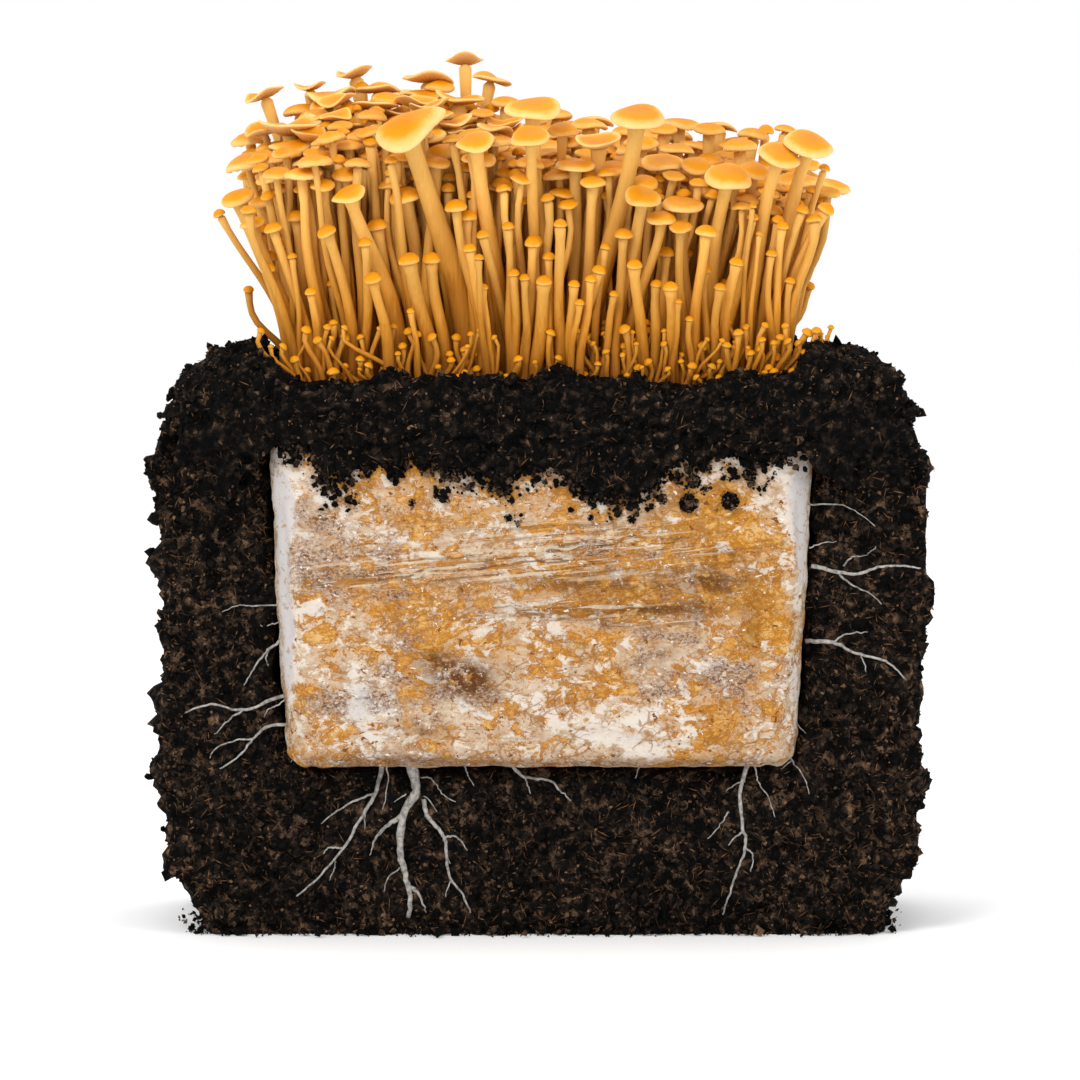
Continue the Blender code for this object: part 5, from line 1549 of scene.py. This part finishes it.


# %% Where the skin has changed colour, and where shadow is painted
# Each place: across, up, half width and half height in mm, and strength.
ZONES = {
    "orange": [(63, 151, 22, 18, 0.85), (-36, 102, 18, 12, 1.0), (20, 128, 40, 12, 0.5),
               (-60, 75, 20, 8, 0.15), (60, 80, 26, 9, 0.7), (-20, 150, 40, 10, 0.4),
               (84, 130, 12, 30, 0.6), (-78, 92, 10, 18, 0.1)],
    "grey": [(-25, 92, 12, 9, 1.0), (-53, 86, 16, 8, 1.0), (-78, 87, 8, 8, 0.8), (49, 117, 14, 9, 1.0),
             (43, 103, 10, 7, 0.8), (70, 97, 12, 9, 1.0), (50, 92, 12, 6, 0.8), (-62, 138, 22, 10, 0.8),
             # On the next line, the last two are long bands along the block's lower edge: painted shadow.
             (20, 143, 22, 4, 0.9), (-85, 140, 8, 18, 0.6), (-50, 64, 40, 4, 1.3), (50, 63, 40, 2.5, 1.0),
             (60, 112, 20, 14, 0.5)],
    "brown": [(-30, 96, 7, 4.5, 1.0), (-24, 93, 5, 4, 0.9), (44, 105, 4, 2, 1.0), (36, 101, 3, 1.6, 0.9),
              (24, 115.5, 3, 1.2, 1.0), (39, 115, 3, 1.2, 1.0), (-40, 103, 6, 4, 0.7), (-44, 76, 10, 2, 0.5),
              (-80, 130, 8, 2, 0.6), (62, 131, 16, 6, 0.9), (38, 121, 34, 3, 1.0), (-30, 97, 12, 6, 0.9),
              (20, 131, 26, 4, 0.9), (66, 141, 6, 3, 0.8),
              # The three thin bands from 65 to 67 mm up, along the block's lower edge, are painted shadow.
              (77, 112, 4, 10, 0.5), (-52, 67, 28, 2.2, 0.7), (5, 65.5, 30, 1.6, 0.6),
              (62, 66, 20, 1.5, 0.5)],
    "white": [(-66, 85, 11, 17, 0.7), (16, 80.5, 22, 6, 0.5), (37, 73, 22, 5, 0.5), (62, 158, 4, 2, 0.5),
              (-10, 118, 26, 7, 0.4), (77, 84, 5, 3, 0.5), (-98.5, 150, 9, 42, 1.0), (-95, 100, 6, 30, 0.9),
              (99, 160, 13, 24, 1.0), (100, 128, 7, 24, 0.9), (94, 90, 5, 18, 0.8), (-74, 158, 22, 12, 0.4)],
}
CREASES = [(-26, 136, 60, 5.5, 1.0), (30, 143, 34, 5, 1.0), (8, 121, 34, 4, 0.9), (-70, 130, 20, 3, 0.7),
           (45, 116, 14, 3, 0.7), (20, 150, 40, 5, 0.5), (-40, 150, 50, 8, 0.25)]
print("zones:", {label: len(places) for label, places in ZONES.items()}, "creases:", len(CREASES))

# %% Build the block
# The bag's lower corners and lower front edge are squarer than the solid's: pushed out by so many mm.
CORNER_PUSH, EDGE_PUSH = 3.5, 2.0
# The block's back is hidden in the soil. Faces are merged there first, until this share of all is left.
BLOCK_KEPT = 0.5
block_points, block_faces, block_normals = remeshed("grow_block", 1.7 * MM)
across, up = block_points[:, 0] / MM, block_points[:, 2] / MM
on_face = np.clip((-block_normals[:, 1] - 0.3) / 0.5, 0, 1)
wander = 1.6 * lumps(block_points, 9 * MM, 6)
relief = 0.5 * lumps(block_points, 22 * MM, 1) + 0.35 * lumps(block_points, 7 * MM, 2)
relief += 0.2 * lumps(block_points, 3 * MM, 3)
for height, width, line in FOLDS:
    away = distance_to(across, up + wander, line)
    relief += height * np.exp(-((away / width) ** 2)) * on_face
downward = np.minimum(block_normals[:, 2], 0) ** 2
pushed = CORNER_PUSH * block_normals[:, 0] ** 2 + EDGE_PUSH * np.minimum(block_normals[:, 1], 0) ** 2
relief += 4 * downward * pushed
block_points = block_points + block_normals * (relief * MM)[:, None]
facing_front = np.clip(-block_normals[:, 1] + 0.3, 0, 1)
zone_values = {
    label: patch(across, up, places) * facing_front
    for label, places in (*ZONES.items(), ("crease", CREASES))
}
block = add_piece("grow_block_skin", block_points, block_faces, [block_skin], ["grow_block"],
                  values=zone_values)
thin_out(block, block_points[:, 1] > -50 * MM, BLOCK_KEPT)

# %% [markdown]
# ## Strands
# Mycelium that leaves the block gathers in cords like roots: thick where they leave it and hair thin at
# their ends. Each is drawn as a tube along a smooth curve through the points of its route, with a slight
# wobble and a width that tapers. A ray from in front finds how deep the soil is at each point of the
# route, and the strand lies there, half sunk between the crumbs.

# %% Mycelium cord
# Mycelium cord: matted pale threads, dry. It gives the eye a dull grey white, with painted shade in its
# hollows.
FELT_SIZE = 1.5 * MM
cord, tree, shader = new_material("mycelium_cord", Roughness=0.88, Specular_IOR_Level=0.25)
place = add_node(tree, "ShaderNodeNewGeometry").outputs["Position"]
felt = add_node(tree, "ShaderNodeTexNoise", {"Vector": place, "Scale": 1 / FELT_SIZE, "Detail": 4.0})
# The felt noise is both colour and relief: where it stands high the cord is paler, and its hollows get
# painted shade.
thick = mask(tree, (felt.outputs["Fac"], 0.35, 0.65))
colour = layered(tree, linear("#6E6A66"), (linear("#ABA6A0"), thick))
coat(tree, shader, colour, (felt.outputs["Fac"], 0.6, 0.3 * MM))

# %% Lay a strand on the cut face
# The soil is probed at a point, and so many mm beside, above and below it. The nearest hit counts.
PROBES = [(0, 0), (-0.8, 0), (0.8, 0), (0, -0.8), (0, 0.8)]
PROBE_FROM, PROBE_REACH = -120, 90 * MM  # in mm like a route, and in metres like the crust
WOBBLE = 0.14
SUNK_SHARE, SUNK_MORE = 0.25, 0.3
FLATTENED = 0.8
crust = BVHTree.FromPolygons([tuple(p) for p in bed_points], bed_faces)


def soil_depth(x, z):
    """Where the soil begins behind a point of the picture, in millimetres."""
    hit, _, _, _ = crust.ray_cast(Vector((x, PROBE_FROM, z)) * MM, Vector((0, 1, 0)), PROBE_REACH)
    return hit.y / MM if hit else SOIL_FRONT / MM


def smooth_route(line, steps=6):
    """Points of a curve that passes through every point of a line."""
    ends = [2 * np.array(line[0]) - line[1], *map(np.array, line), 2 * np.array(line[-1]) - line[-2]]
    found = []
    for a, b, c, d in zip(ends, ends[1:], ends[2:], ends[3:]):
        for t in np.arange(steps) / steps:
            square, cube = (2 * a - 5 * b + 4 * c - d) * t**2, (3 * b - a - 3 * c + d) * t**3
            found.append(0.5 * (2 * b + (c - a) * t + square + cube))
    return np.array([*found, np.array(line[-1], float)])


def add_strand(pile, line, thick_start, thick_end, sides=8):
    """A tapering tube laid on the cut face."""
    route = smooth_route(line)
    route = route + rng.normal(0, WOBBLE, route.shape)
    shares = np.linspace(0, 1, len(route))
    widths = (thick_start + (thick_end - thick_start) * shares**0.7) * rng.uniform(0.85, 1.15, len(route))
    depths = np.array([min(soil_depth(x + a, z + b) for a, b in PROBES) for x, z in route])
    beside = np.pad(depths, 1, mode="edge")
    depths = np.minimum(depths, np.minimum(beside[:-2], beside[2:]))
    depths = np.convolve(np.pad(depths, 1, mode="edge"), (0.3, 0.4, 0.3), mode="valid")
    depths = depths - SUNK_SHARE * widths - SUNK_MORE
    ahead = np.gradient(route, axis=0)
    ahead /= np.linalg.norm(ahead, axis=1)[:, None]
    turn = np.arange(sides) * math.tau / sides
    rings = []
    for (x, z), depth, (ax, az), width in zip(route, depths, ahead, widths):
        out = (width / 2) * np.cos(turn)
        side = (width / 2) * np.sin(turn)
        rings.append(np.stack([x - az * side, depth - FLATTENED * out, z + ax * side], axis=1) * MM)
    pile.add_rings(rings, [0] * (len(rings) - 1))


# %% Draw the strands
for name, (width, lines) in STRANDS.items():
    pile = Pile()
    add_strand(pile, lines[0], 0.85 * width, 0.28 * width)
    for line in lines[1:]:
        add_strand(pile, line, 0.45 * width, 0.4)
    pile.become(name + "_fine", [cord], "mycelium", [name])
pile = Pile()
for line in FINE_THREADS:
    add_strand(pile, line, 0.75, 0.35, 6)
pile.become("mycelium_threads", [cord], "mycelium")
print("strands:", len(STRANDS), "fine threads:", len(FINE_THREADS))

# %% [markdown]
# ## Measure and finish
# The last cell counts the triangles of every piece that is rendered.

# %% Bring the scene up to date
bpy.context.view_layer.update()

# %% Finish
triangles = {
    piece.name: sum(len(face.vertices) - 2 for face in piece.data.polygons)
    for piece in bpy.data.objects
    if piece.type == "MESH" and not piece.hide_render
}
print("triangles in all:", sum(triangles.values()), "in the largest pieces:", sorted(triangles.values())[-4:])
